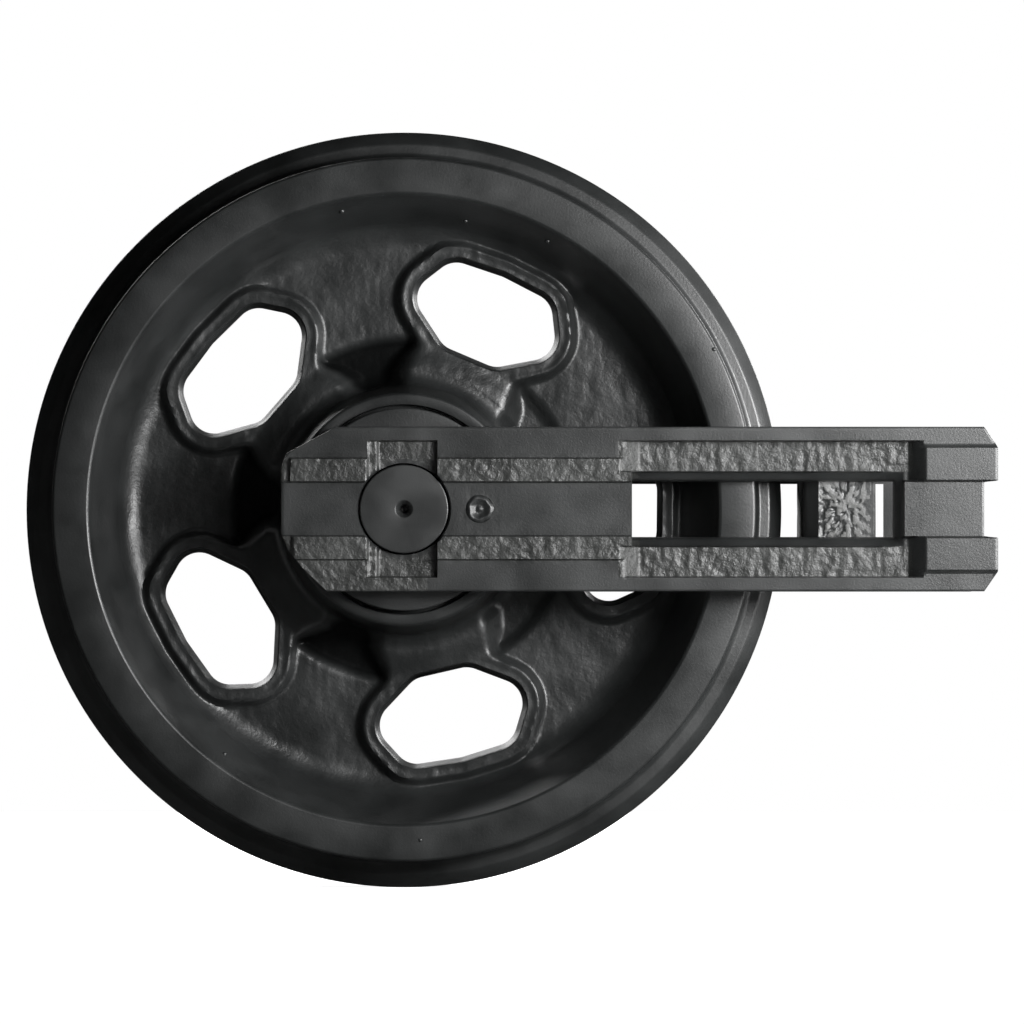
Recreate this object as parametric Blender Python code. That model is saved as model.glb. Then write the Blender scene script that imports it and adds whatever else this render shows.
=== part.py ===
"""Front idler of a twenty-tonne excavator: a cast wheel on a fixed shaft between two guide arms.

Metres, +Z up. The origin is the centre of the wheel on its axis, which runs along Y.
The arms run back along +X to the cross-member that the track tensioner pushes on.
Distances out from the wheel's middle plane, towards either side, are called out.
"""
import math

import bmesh
import bpy
from mathutils import Vector

# Clearances
FIT_GAP = 0.0003
RUNNING_GAP = 0.0003
THRUST_PLAY = 0.0006
SEAL_FACE_GAP = 0.0003
LABYRINTH_GAP = 0.0023
BOSS_END_GAP = 0.0015
ARM_CLEARANCE = 0.005
CROSS_CLEARANCE = 0.015

# How far a cutter runs past the face that it opens, and joined solids into each other
OVERCUT = 0.004
OVERLAP = 0.001

# Wheel rim
TREAD_R = 0.260
FLANGE_H = 0.020
FLANGE_CREST_HALF = 0.033
FLANGE_CHAMFER_H = 0.009
FLANGE_SIDE_HALF = 0.041
FLANGE_ROOT = 0.004
RIM_HALF = 0.077
RIM_FACE_DEPTH = 0.027
RIM_CHAMFER = 0.0015
RIM_DRAFT = math.radians(22.0)

# Web
HOLES = 5
HOLE_TURN = math.radians(67.0)
WEB_HALF = 0.014
WEB_FILLET = 0.022
PIT_HALF = 0.008
PIT_WIDTH = 0.022
PIT_STEP = 0.006
PETAL_HALF = 0.022
PETAL_RISE = 0.005
PETAL_WALL = 0.007
PETAL_NECK = 0.031
LIP_WIDTH = 0.013
HOLE_DRAFT = 0.004
HOLE_OUTER_MARGIN = 0.004
HOLE_INNER_MARGIN = 0.020
HOLE_WIDE_HALF = 0.054
HOLE_TOP_HALF = 0.047
HOLE_FOOT_HALF = 0.033
HOLE_SHOULDER = 0.0147
HOLE_CORNER = 0.018

# Hub
HUB_SETBACK = 0.002
HUB_WALL = 0.0089
HUB_TAPER = 0.0058
HUB_FILLET = 0.012
HUB_CHAMFER = 0.0015
LABYRINTH_DEPTH = 0.009
SEAL_POCKET_DEPTH = 0.014
OIL_CHAMBER_HALF = 0.012
OIL_CHAMBER_EXTRA = 0.006

# Shaft
SHAFT_R = 0.0375
JOURNAL_R = 0.0325
SHAFT_CHAMFER = 0.002
SHAFT_SETBACK = 0.001
CENTRE_HOLE_R = 0.0063
CENTRE_HOLE_DEPTH = 0.008
OIL_BORE_R = 0.005
OIL_CROSS_R = 0.004

# Bushes
BUSH_WALL = 0.0057
BUSH_FLANGE_H = 0.005
BUSH_FLANGE_T = 0.004
BUSH_END_GAP = 0.0005

# Floating seals: ring sections are (height above the ring's bore, distance from the sealing face)
SEAL_RING_SLACK = 0.0015
SEAL_FACE_H = 0.0115
SEAL_FACE_T = 0.0032
SEAL_NECK_H = 0.0072
SEAL_NECK_AT = 0.0046
SEAL_TAIL_H = 0.0054
SEAL_RING_W = 0.012
TORIC_R = 0.0036
TORIC_AT = 0.009
TORIC_SEAT = 0.0004
SLEEVE_SLACK = 0.003
O_RING_R = 0.00155
O_RING_GAP = 0.00035
O_RING_OUT = 0.070
O_RING_GROOVE_W = 0.005

# Arms: levels are heights above the arm's inner face, nose bends are steps back and down from its flat
ARM_HALF_H = 0.0605
LEDGE_LEVEL = 0.032
RIB_LEVEL = 0.036
CHANNEL_LEVEL = 0.030
SLOT_LEVEL = 0.026
STRIP_LEVEL = 0.018
WINDOW_THROAT_LEVEL = 0.010
BOSS_LEVEL = 0.027
BOSS_WALL = 0.0106
SEAL_SEAT_INSET = 0.002
NOSE_X = -0.0905
NOSE_TOP_X = -0.050
NOSE_FLAT_TOP = 0.030
NOSE_TOP_BEND = (0.004, 0.011)
NOSE_FLAT_FOOT = -0.018
NOSE_FOOT_BENDS = ((0.005, 0.012), (0.015, 0.025))
NOSE_FOOT_X = -0.057
CHANNEL_HALF = 0.0198
RIB_H = 0.0175
UPPER_RIB_START = -0.084
LOWER_RIB_START = -0.082
SLOT_BACK = -0.025
SLOT_FRONT = 0.024
SLOT_HALF_H = 0.050
RIB_END = 0.158
STRIP_RUN_IN = 0.015
STRIP_RUN_OUT = 0.012
STRIP_PAST_WINDOW = 0.004
STRIP_TOP = 0.050
WINDOW_START = 0.1675
WINDOW_HALF_H = 0.021
WINDOW_FLARE_H = 0.0065
WINDOW_FLARE_X = 0.0065
STRIP_END_L = 0.020
WINDOW_BEHIND_CROSS = 0.0195
END_BLOCK_L = 0.069
END_RIB_SETBACK = 0.001
END_RIB_TOP = 0.046
END_RECESS_HALF = 0.0205
END_NOTCH = 0.010
END_CHAMFER = 0.010

# Cross-member: bead corners are shares of the leg, out from the beam and in from the arm
CROSS_DEPTH = 0.053
CROSS_HALF_H = 0.046
CROSS_TAPER = 0.011
CROSS_TAPER_RUN = 0.012
WELD_LEG = 0.009
WELD_SETBACK = 0.002
FRONT_BEAD = ((1.0, 0.0), (0.8, 0.45), (0.3, 0.5))
REAR_BEAD = ((0.9, 0.0), (0.65, 0.55), (0.0, 0.9))

# Pins and plugs: the dome's corners are shares of the plug's radius and of how far it stands proud
LOCK_PIN_R = 0.006
LOCK_PIN_BITE = 0.004
LOCK_PIN_LEVEL = 0.013
LOCK_PIN_SUNK = 0.008
LOCK_PIN_L = 0.080
LOCK_PIN_CHAMFER = 0.001
ARM_PLUG_R = 0.010
ARM_PLUG_X = 0.0555
ARM_PLUG_DEPTH = 0.014
ARM_PLUG_PROUD = 0.0012
ARM_PLUG_DOME = ((1.0, -1.0), (0.8, 0.5), (0.4, 1.0), (0.0, 1.0))
OIL_PLUG_R = 0.010
OIL_PLUG_DEPTH = 0.014
OIL_PLUG_SUNK = 0.001
OIL_SOCKET_R = 0.0046
OIL_SOCKET_DEPTH = 0.006

# Facets round the turned pieces, and where the web's rows of points lie
WHEEL_STEPS_PER_HOLE = 12
SHAFT_STEPS = 30
SEAL_STEPS = 24
O_RING_STEPS = 24
TORIC_SIDES = 6
O_RING_SIDES = 5
PIN_STEPS = 12
FILLET_ROW_SHARE = 0.55
RING_LIMITS = (0.22, 0.45, 0.72)
CORNER_STEPS = 8

# Radii worked out from the tread to the flange, and from the shaft to the hub
FLANGE_R = TREAD_R + FLANGE_H
BUSH_BORE_R = SHAFT_R + RUNNING_GAP
BUSH_R = BUSH_BORE_R + BUSH_WALL
BUSH_FLANGE_R = BUSH_R + BUSH_FLANGE_H
HUB_BORE_R = BUSH_R + FIT_GAP
SEAL_RING_BORE_R = BUSH_FLANGE_R + SEAL_RING_SLACK
SLEEVE_R = SEAL_RING_BORE_R - SLEEVE_SLACK
JOURNAL_BORE_R = JOURNAL_R + FIT_GAP
SEAL_CONE_SLOPE = (SEAL_NECK_H - SEAL_TAIL_H) / (SEAL_RING_W - SEAL_NECK_AT)
SEAL_CONE_H = SEAL_NECK_H - SEAL_CONE_SLOPE * (TORIC_AT - SEAL_NECK_AT)
TORIC_MID_R = SEAL_RING_BORE_R + SEAL_CONE_H + TORIC_SEAT + TORIC_R
SEAL_SEAT_R = TORIC_MID_R + TORIC_R + TORIC_SEAT
BOSS_R = SEAL_SEAT_R + BOSS_WALL
LABYRINTH_R = BOSS_R + LABYRINTH_GAP
HUB_END_R = LABYRINTH_R + HUB_WALL
HUB_ROOT_R = HUB_END_R + HUB_TAPER
WEB_INNER_R = HUB_ROOT_R + HUB_FILLET

# Distances out from the middle plane
HUB_END = RIM_HALF - HUB_SETBACK
SEAL_MOUTH = HUB_END - LABYRINTH_DEPTH
HUB_FACE = SEAL_MOUTH - SEAL_POCKET_DEPTH
BUSH_FACE = HUB_FACE + FIT_GAP + BUSH_FLANGE_T
SLEEVE_END = BUSH_FACE + THRUST_PLAY
SHAFT_SHOULDER = SLEEVE_END - FIT_GAP
BOSS_END = SEAL_MOUTH + BOSS_END_GAP
SEAL_PLANE = 0.5 * (SEAL_MOUTH + BOSS_END)
ARM_INNER = RIM_HALF + ARM_CLEARANCE
SHAFT_END = ARM_INNER + CHANNEL_LEVEL + SHAFT_SETBACK
LOCK_PIN_OUT = ARM_INNER + LOCK_PIN_LEVEL
LOCK_PIN_X = -(JOURNAL_R + LOCK_PIN_R - LOCK_PIN_BITE)

# Places along the arm
CROSS_FRONT = FLANGE_R + CROSS_CLEARANCE
CROSS_REAR = CROSS_FRONT + CROSS_DEPTH
WINDOW_END = CROSS_REAR + WINDOW_BEHIND_CROSS
ARM_TAIL = WINDOW_END + END_BLOCK_L

# Web radii and levels
RIM_INNER_R = TREAD_R - RIM_FACE_DEPTH
WEB_TANGENT_OUT = WEB_HALF + WEB_FILLET * (1.0 - math.sin(RIM_DRAFT))
WEB_TANGENT_R = RIM_INNER_R - (RIM_HALF - WEB_TANGENT_OUT) * math.tan(RIM_DRAFT)
WEB_EDGE_R = WEB_TANGENT_R - WEB_FILLET * math.cos(RIM_DRAFT)
HOLE_OUTER_R = WEB_EDGE_R - HOLE_OUTER_MARGIN
HOLE_INNER_R = WEB_INNER_R + HOLE_INNER_MARGIN
HOLE_MID_R = 0.5 * (HOLE_INNER_R + HOLE_OUTER_R)
HOLE_PITCH = 2.0 * math.pi / HOLES


def clear_scene():
    """Removes whatever objects the open scene holds."""
    for obj in list(bpy.data.objects):
        bpy.data.objects.remove(obj)


def finish(name, colour, roughness, metallic):
    """A plain paint, metal or rubber finish."""
    material = bpy.data.materials.new(name)
    material.use_nodes = True
    shader = material.node_tree.nodes["Principled BSDF"]
    shader.inputs["Base Color"].default_value = (*colour, 1.0)
    shader.inputs["Roughness"].default_value = roughness
    shader.inputs["Metallic"].default_value = metallic
    return material


def solid(name, verts, faces, material=None, parent=None):
    """One closed mesh object, with its doubled points merged and its faces pointing out."""
    mesh = bpy.data.meshes.new(name)
    shape = bmesh.new()
    points = [shape.verts.new(point) for point in verts]
    for face in faces:
        corners = [points[index] for index in face]
        shape.faces.new(corners)
    bmesh.ops.remove_doubles(shape, verts=shape.verts, dist=0.000002)
    bmesh.ops.recalc_face_normals(shape, faces=shape.faces)
    shape.to_mesh(mesh)
    shape.free()
    obj = bpy.data.objects.new(name, mesh)
    bpy.context.scene.collection.objects.link(obj)
    if material:
        mesh.materials.append(material)
    if parent:
        obj.parent = parent
    return obj


def smooth(obj, angle=35.0):
    """Round faces shaded smooth, with the edges above the angle left sharp."""
    obj.data.shade_smooth()
    obj.data.set_sharp_from_angle(angle=math.radians(angle))
    return obj


def turned(section, steps):
    """A closed section of (radius, distance along Y) points, turned about the Y axis."""
    verts = []
    faces = []
    rows = []
    for radius, along in section:
        if radius == 0.0:
            rows.append([len(verts)] * steps)
            verts.append((0.0, along, 0.0))
            continue
        rows.append(list(range(len(verts), len(verts) + steps)))
        for step in range(steps):
            angle = 2.0 * math.pi * step / steps
            verts.append((radius * math.cos(angle), along, radius * math.sin(angle)))
    for row, next_row in zip(rows, rows[1:] + rows[:1]):
        for step in range(steps):
            after = (step + 1) % steps
            corners = [row[step], row[after], next_row[after], next_row[step]]
            corners = list(dict.fromkeys(corners))
            if len(corners) > 2:
                faces.append(corners)
    return verts, faces


def on_side(points, side):
    """Turned (radius, out) points put on the near side, -1, or the far side, +1."""
    return [(radius, side * out) for radius, out in points]


def capped(count):
    """The faces of a closed band between two like outlines, one after the other, with both ends."""
    faces = [list(range(count)), list(range(count, 2 * count))]
    for index in range(count):
        after = (index + 1) % count
        faces.append([index, after, count + after, count + index])
    return faces


def plate(lower, upper, low_out, high_out, side):
    """A solid between two outlines of (x, z) points at two distances out."""
    verts = [(x, side * low_out, z) for x, z in lower]
    verts += [(x, side * high_out, z) for x, z in upper]
    return verts, capped(len(lower))


def upright(outline, low_z, high_z):
    """A solid between two heights, over an outline of (x, y) points."""
    verts = [(x, y, z) for z in (low_z, high_z) for x, y in outline]
    return verts, capped(len(outline))


def drum(radius, low_out, high_out, steps, side, at_x=0.0):
    """A round bar along Y, between two distances out, at a place along X."""
    section = [(0.0, low_out), (radius, low_out), (radius, high_out), (0.0, high_out)]
    verts, faces = turned(on_side(section, side), steps)
    return [(x + at_x, y, z) for x, y, z in verts], faces


def rectangle(low_x, high_x, low_z, high_z):
    """The four (x, z) corners of a rectangle."""
    return [(low_x, low_z), (high_x, low_z), (high_x, high_z), (low_x, high_z)]


def rod(radius, start, end, steps):
    """A round bar between two points, with flat ends."""
    axis = (end - start).normalized()
    across = axis.orthogonal().normalized()
    other = axis.cross(across)
    verts = []
    for centre in (start, end):
        for step in range(steps):
            angle = 2.0 * math.pi * step / steps
            verts.append(centre + radius * (math.cos(angle) * across + math.sin(angle) * other))
    return verts, capped(steps)


def cutter(name, shape):
    """A helper solid that shapes another one and is not part of the assembly."""
    obj = solid(name, *shape)
    obj.hide_render = True
    obj.display_type = "WIRE"
    return obj


def shape_with(obj, helper, operation):
    """Adds a Boolean of the helper to the object."""
    modifier = obj.modifiers.new(helper.name, "BOOLEAN")
    modifier.operation = operation
    modifier.object = helper
    modifier.solver = "EXACT"


def hole_frame():
    """The skeleton of a web hole: its outline is this shape grown by the corner radius."""
    top = HOLE_OUTER_R - HOLE_CORNER
    foot = HOLE_INNER_R + HOLE_CORNER
    wide = HOLE_WIDE_HALF - HOLE_CORNER
    top_half = HOLE_TOP_HALF - HOLE_CORNER
    foot_half = HOLE_FOOT_HALF - HOLE_CORNER
    crown = HOLE_OUTER_R - math.sqrt(HOLE_OUTER_R ** 2 - top_half ** 2)
    shoulder = top - HOLE_SHOULDER
    right = [(0.0, top), (top_half, top - crown), (wide, shoulder), (foot_half, foot)]
    left = [(-u, v) for u, v in right[:0:-1]]
    return right + left


def distance_to(polygon, u, v):
    """Signed distance from a clockwise convex polygon: negative inside, positive outside."""
    nearest = None
    outside = False
    for (u0, v0), (u1, v1) in zip(polygon, polygon[1:] + polygon[:1]):
        along_u = u1 - u0
        along_v = v1 - v0
        length = math.hypot(along_u, along_v)
        share = ((u - u0) * along_u + (v - v0) * along_v) / length ** 2
        share = min(1.0, max(0.0, share))
        gap = math.hypot(u - u0 - share * along_u, v - v0 - share * along_v)
        side = ((v - v0) * along_u - (u - u0) * along_v) / length
        outside = outside or side > 0.0
        nearest = gap if nearest is None else min(nearest, gap)
    return nearest if outside else -nearest


def ease(share):
    """A smooth step from nought to one."""
    share = min(1.0, max(0.0, share))
    return share * share * (3.0 - 2.0 * share)


def web_height(radius, angle, frame):
    """Distance out of the web's face, at a radius and an angle from the nearest hole's axis.

    The plain web drops into a pit next to the hub and sweeps up into the rim. Over it stands
    a raised petal that rings the hole and runs in to the hub.
    """
    pit_edge = WEB_INNER_R + PIT_WIDTH
    base = PIT_HALF + (WEB_HALF - PIT_HALF) * ease((radius - pit_edge) / PIT_STEP + 0.5)
    if radius > WEB_EDGE_R:
        base += WEB_FILLET - math.sqrt(WEB_FILLET ** 2 - (radius - WEB_EDGE_R) ** 2)
    u = radius * math.sin(angle)
    v = radius * math.cos(angle)
    around_hole = distance_to(frame, u, v) - HOLE_CORNER - LIP_WIDTH
    to_hub = max(abs(u) - PETAL_NECK, v - HOLE_MID_R)
    outside = min(around_hole, to_hub)
    petal = PETAL_HALF + PETAL_RISE * ease((HOLE_INNER_R - radius) / HOLE_INNER_MARGIN)
    return base + max(0.0, petal - base) * (1.0 - ease(outside / PETAL_WALL))


def sector_edge():
    """The (radius, angle) points round one sector of the web, in order."""
    half = 0.5 * HOLE_PITCH
    angles = [-half + HOLE_PITCH * step / WHEEL_STEPS_PER_HOLE
              for step in range(WHEEL_STEPS_PER_HOLE + 1)]
    pit_edge = WEB_INNER_R + PIT_WIDTH
    sides = [WEB_EDGE_R + FILLET_ROW_SHARE * (WEB_TANGENT_R - WEB_EDGE_R), WEB_EDGE_R,
             pit_edge + 0.5 * PIT_STEP, pit_edge - 0.5 * PIT_STEP]
    edge = [(WEB_TANGENT_R, angle) for angle in angles]
    edge += [(radius, half) for radius in sides]
    edge += [(WEB_INNER_R, angle) for angle in reversed(angles)]
    edge += [(radius, -half) for radius in reversed(sides)]
    return edge


def hole_outline(frame, count):
    """Evenly spaced (u, v, normal angle) points round the hole, clockwise from its outer middle."""
    normals = []
    for (u0, v0), (u1, v1) in zip(frame, frame[1:] + frame[:1]):
        normals.append(math.atan2(u1 - u0, v0 - v1))
    bends = [(frame[0], 0.5 * math.pi, normals[0])]
    for corner, before, after in zip(frame[1:], normals, normals[1:]):
        bends.append((corner, before, after))
    bends.append((frame[0], normals[-1], 0.5 * math.pi))
    path = []
    for (u, v), before, after in bends:
        turn = (before - after) % (2.0 * math.pi)
        for step in range(CORNER_STEPS + 1):
            angle = before - turn * step / CORNER_STEPS
            path.append((u + HOLE_CORNER * math.cos(angle), v + HOLE_CORNER * math.sin(angle), angle))
    lengths = [0.0]
    for (u0, v0, _), (u1, v1, _) in zip(path, path[1:]):
        lengths.append(lengths[-1] + math.hypot(u1 - u0, v1 - v0))
    outline = []
    at = 0
    for index in range(count):
        wanted = lengths[-1] * index / count
        while lengths[at + 1] < wanted:
            at += 1
        span = lengths[at + 1] - lengths[at]
        share = (wanted - lengths[at]) / span if span else 0.0
        (u0, v0, a0), (u1, v1, a1) = path[at], path[at + 1]
        bend = (a1 - a0 + math.pi) % (2.0 * math.pi) - math.pi
        outline.append((u0 + share * (u1 - u0), v0 + share * (v1 - v0), a0 + share * bend))
    return outline


def web_rings():
    """Rings of (radius, angle, rise) points, from a hole's middle edge out to its sector's edge."""
    frame = hole_frame()
    edge = sector_edge()
    outline = hole_outline(frame, len(edge))
    shift = WHEEL_STEPS_PER_HOLE // 2
    outline = outline[-shift:] + outline[:-shift]
    ends = [(radius * math.sin(angle), radius * math.cos(angle)) for radius, angle in edge]
    grids = [[(u, v) for u, v, _ in outline]]
    for offset, limit in zip((HOLE_DRAFT, LIP_WIDTH, LIP_WIDTH + PETAL_WALL), RING_LIMITS):
        ring = []
        for (u, v, normal), (end_u, end_v) in zip(outline, ends):
            reach = min(offset, limit * math.hypot(end_u - u, end_v - v))
            ring.append((u + reach * math.cos(normal), v + reach * math.sin(normal)))
        grids.append(ring)
    grids.append([(0.5 * (u0 + u1), 0.5 * (v0 + v1)) for (u0, v0), (u1, v1) in zip(grids[-1], ends)])
    grids.append(ends)
    rings = []
    for index, grid in enumerate(grids):
        rise = 1.0 if index else 0.0
        rings.append([(math.hypot(u, v), math.atan2(u, v), rise) for u, v in grid])
    return rings


def web_shape(side):
    """The web's face on one side, sector by sector."""
    frame = hole_frame()
    rings = web_rings()
    verts = []
    faces = []
    count = len(rings[0])
    for hole in range(HOLES):
        turn = HOLE_TURN + HOLE_PITCH * hole
        first = len(verts)
        for ring in rings:
            for radius, angle, rise in ring:
                out = rise * web_height(radius, angle, frame)
                facing = turn - angle
                verts.append((radius * math.cos(facing), side * out, radius * math.sin(facing)))
        for row in range(len(rings) - 1):
            for step in range(count):
                low = first + row * count
                after = (step + 1) % count
                faces.append([low + step, low + after, low + count + after, low + count + step])
    return verts, faces


def wheel_rows():
    """Rows of (radius, out) points round the wheel, near side first, for the rim and the hub."""
    frame = hole_frame()
    steps = HOLES * WHEEL_STEPS_PER_HOLE
    half = 0.5 * HOLE_PITCH

    def level(radius, out):
        return [(radius, out)] * steps

    rim = [level(WEB_TANGENT_R, WEB_TANGENT_OUT),
           level(RIM_INNER_R - RIM_CHAMFER * math.tan(RIM_DRAFT), RIM_HALF - RIM_CHAMFER),
           level(RIM_INNER_R + RIM_CHAMFER, RIM_HALF),
           level(TREAD_R - RIM_CHAMFER, RIM_HALF),
           level(TREAD_R, RIM_HALF - RIM_CHAMFER),
           level(TREAD_R, FLANGE_SIDE_HALF + FLANGE_ROOT),
           level(TREAD_R + FLANGE_ROOT, FLANGE_SIDE_HALF),
           level(FLANGE_R - FLANGE_CHAMFER_H, FLANGE_SIDE_HALF),
           level(FLANGE_R, FLANGE_CREST_HALF)]
    hub = []
    for share in (0.0, 0.5, 1.0):
        bend = 0.5 * math.pi * share
        row = []
        for step in range(steps):
            angle = half - HOLE_PITCH * (step % WHEEL_STEPS_PER_HOLE) / WHEEL_STEPS_PER_HOLE
            foot = web_height(WEB_INNER_R, angle, frame)
            row.append((WEB_INNER_R - HUB_FILLET * math.sin(bend),
                        foot + HUB_FILLET * (1.0 - math.cos(bend))))
        hub.append(row)
    hub += [level(HUB_END_R, HUB_END - HUB_CHAMFER),
            level(HUB_END_R - HUB_CHAMFER, HUB_END),
            level(LABYRINTH_R, HUB_END),
            level(LABYRINTH_R, SEAL_MOUTH),
            level(SEAL_SEAT_R, SEAL_MOUTH),
            level(SEAL_SEAT_R, HUB_FACE),
            level(HUB_BORE_R, HUB_FACE),
            level(HUB_BORE_R, OIL_CHAMBER_HALF),
            level(HUB_BORE_R + OIL_CHAMBER_EXTRA, OIL_CHAMBER_HALF)]
    return rim, hub


def wheel_shape():
    """The whole casting: webs, rim and hub on both sides of the middle plane."""
    verts = []
    faces = []
    steps = HOLES * WHEEL_STEPS_PER_HOLE
    start = HOLE_TURN - 0.5 * HOLE_PITCH
    for side in (-1, 1):
        web_verts, web_faces = web_shape(side)
        first = len(verts)
        verts += web_verts
        faces += [[first + index for index in face] for face in web_faces]
    for half_rows in wheel_rows():
        rows = [[(radius, -out) for radius, out in row] for row in half_rows]
        rows += [list(row) for row in reversed(half_rows)]
        first = len(verts)
        for row in rows:
            for step, (radius, along) in enumerate(row):
                angle = start + 2.0 * math.pi * step / steps
                verts.append((radius * math.cos(angle), along, radius * math.sin(angle)))
        for line in range(len(rows) - 1):
            low = first + line * steps
            for step in range(steps):
                after = (step + 1) % steps
                faces.append([low + step, low + after, low + steps + after, low + steps + step])
    return verts, faces


def shaft_section():
    """Near end with its lathe centre, two grooved journals, and the far end's oil drilling."""
    groove_r = JOURNAL_R - 2.0 * O_RING_R - O_RING_GAP
    near = [(0.0, CENTRE_HOLE_DEPTH - SHAFT_END),
            (CENTRE_HOLE_R, -SHAFT_END),
            (JOURNAL_R - SHAFT_CHAMFER, -SHAFT_END),
            (JOURNAL_R, SHAFT_CHAMFER - SHAFT_END)]
    grooved = [(JOURNAL_R, O_RING_OUT + 0.5 * O_RING_GROOVE_W),
               (groove_r, O_RING_OUT + 0.5 * O_RING_GROOVE_W),
               (groove_r, O_RING_OUT - 0.5 * O_RING_GROOVE_W),
               (JOURNAL_R, O_RING_OUT - 0.5 * O_RING_GROOVE_W),
               (JOURNAL_R, SHAFT_SHOULDER),
               (SHAFT_R, SHAFT_SHOULDER)]
    plug_bore_r = OIL_PLUG_R + FIT_GAP
    far = [(JOURNAL_R, SHAFT_END - SHAFT_CHAMFER),
           (JOURNAL_R - SHAFT_CHAMFER, SHAFT_END),
           (plug_bore_r, SHAFT_END),
           (plug_bore_r, SHAFT_END - OIL_PLUG_DEPTH),
           (OIL_BORE_R, SHAFT_END - OIL_PLUG_DEPTH),
           (OIL_BORE_R, 0.0),
           (0.0, -OIL_BORE_R)]
    return near + on_side(grooved, -1) + on_side(grooved[::-1], 1) + far


def make_shaft(material):
    """The fixed shaft, notched for its lock pins and cross-drilled to the oil chamber."""
    shaft = solid("shaft", *turned(shaft_section(), SHAFT_STEPS), material)
    top = Vector((0.0, 0.0, SHAFT_R + OVERCUT))
    drill = rod(OIL_CROSS_R, Vector((0.0, 0.0, 0.0)), top, PIN_STEPS)
    shape_with(shaft, cutter("oil_cross_drill", drill), "DIFFERENCE")
    for side, place in ((-1, "near"), (1, "far")):
        foot = Vector((LOCK_PIN_X, side * LOCK_PIN_OUT, -JOURNAL_R))
        head = Vector((LOCK_PIN_X, side * LOCK_PIN_OUT, JOURNAL_R))
        notch = rod(LOCK_PIN_R + FIT_GAP, foot, head, PIN_STEPS)
        shape_with(shaft, cutter(place + "_shaft_notch", notch), "DIFFERENCE")
    return smooth(shaft)


def bush_section():
    """A flanged bush with its flange against the hub's face."""
    inner = OIL_CHAMBER_HALF + BUSH_END_GAP
    seat = HUB_FACE + FIT_GAP
    return [(BUSH_BORE_R, inner), (BUSH_R, inner), (BUSH_R, seat),
            (BUSH_FLANGE_R, seat), (BUSH_FLANGE_R, BUSH_FACE), (BUSH_BORE_R, BUSH_FACE)]


def seal_ring_section(facing):
    """A floating seal ring; facing is -1 for the hub's ring and +1 for the arm's ring."""
    face = SEAL_PLANE + facing * 0.5 * SEAL_FACE_GAP
    section = [(0.0, 0.0), (SEAL_FACE_H, 0.0), (SEAL_FACE_H, SEAL_FACE_T),
               (SEAL_NECK_H, SEAL_NECK_AT), (SEAL_TAIL_H, SEAL_RING_W), (0.0, SEAL_RING_W)]
    return [(SEAL_RING_BORE_R + high, face + facing * along) for high, along in section]


def round_section(middle_r, middle_out, radius, sides):
    """A round section, as of a rubber ring."""
    return [(middle_r + radius * math.cos(2.0 * math.pi * side / sides),
             middle_out + radius * math.sin(2.0 * math.pi * side / sides))
            for side in range(sides)]


def arm_outline():
    """The arm from the side: a blunt nose, long flats, and a notched and chamfered tail."""
    top_back, top_rise = NOSE_TOP_BEND
    top_slope = [(NOSE_TOP_X, ARM_HALF_H),
                 (NOSE_X + top_back, NOSE_FLAT_TOP + top_rise),
                 (NOSE_X, NOSE_FLAT_TOP)]
    foot_slope = [(NOSE_X, NOSE_FLAT_FOOT)]
    foot_slope += [(NOSE_X + back, NOSE_FLAT_FOOT - down) for back, down in NOSE_FOOT_BENDS]
    foot_slope += [(NOSE_FOOT_X, -ARM_HALF_H)]
    notch_x = ARM_TAIL - END_NOTCH
    tail = [(ARM_TAIL - END_CHAMFER, -ARM_HALF_H),
            (ARM_TAIL, -END_RIB_TOP),
            (ARM_TAIL, -END_RECESS_HALF),
            (notch_x, -END_RECESS_HALF),
            (notch_x, END_RECESS_HALF),
            (ARM_TAIL, END_RECESS_HALF),
            (ARM_TAIL, END_RIB_TOP),
            (ARM_TAIL - END_CHAMFER, ARM_HALF_H)]
    return top_slope + foot_slope + tail


def boss_section():
    """The arm's round boss: an outer wall, the seal's seat, and the sleeve on the shaft."""
    seat_out = ARM_INNER - SEAL_SEAT_INSET
    return [(JOURNAL_BORE_R, SLEEVE_END),
            (SLEEVE_R, SLEEVE_END),
            (SLEEVE_R, seat_out),
            (SEAL_SEAT_R, seat_out),
            (SEAL_SEAT_R, BOSS_END),
            (BOSS_R, BOSS_END),
            (BOSS_R, ARM_INNER + BOSS_LEVEL),
            (JOURNAL_BORE_R, ARM_INNER + BOSS_LEVEL)]


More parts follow.
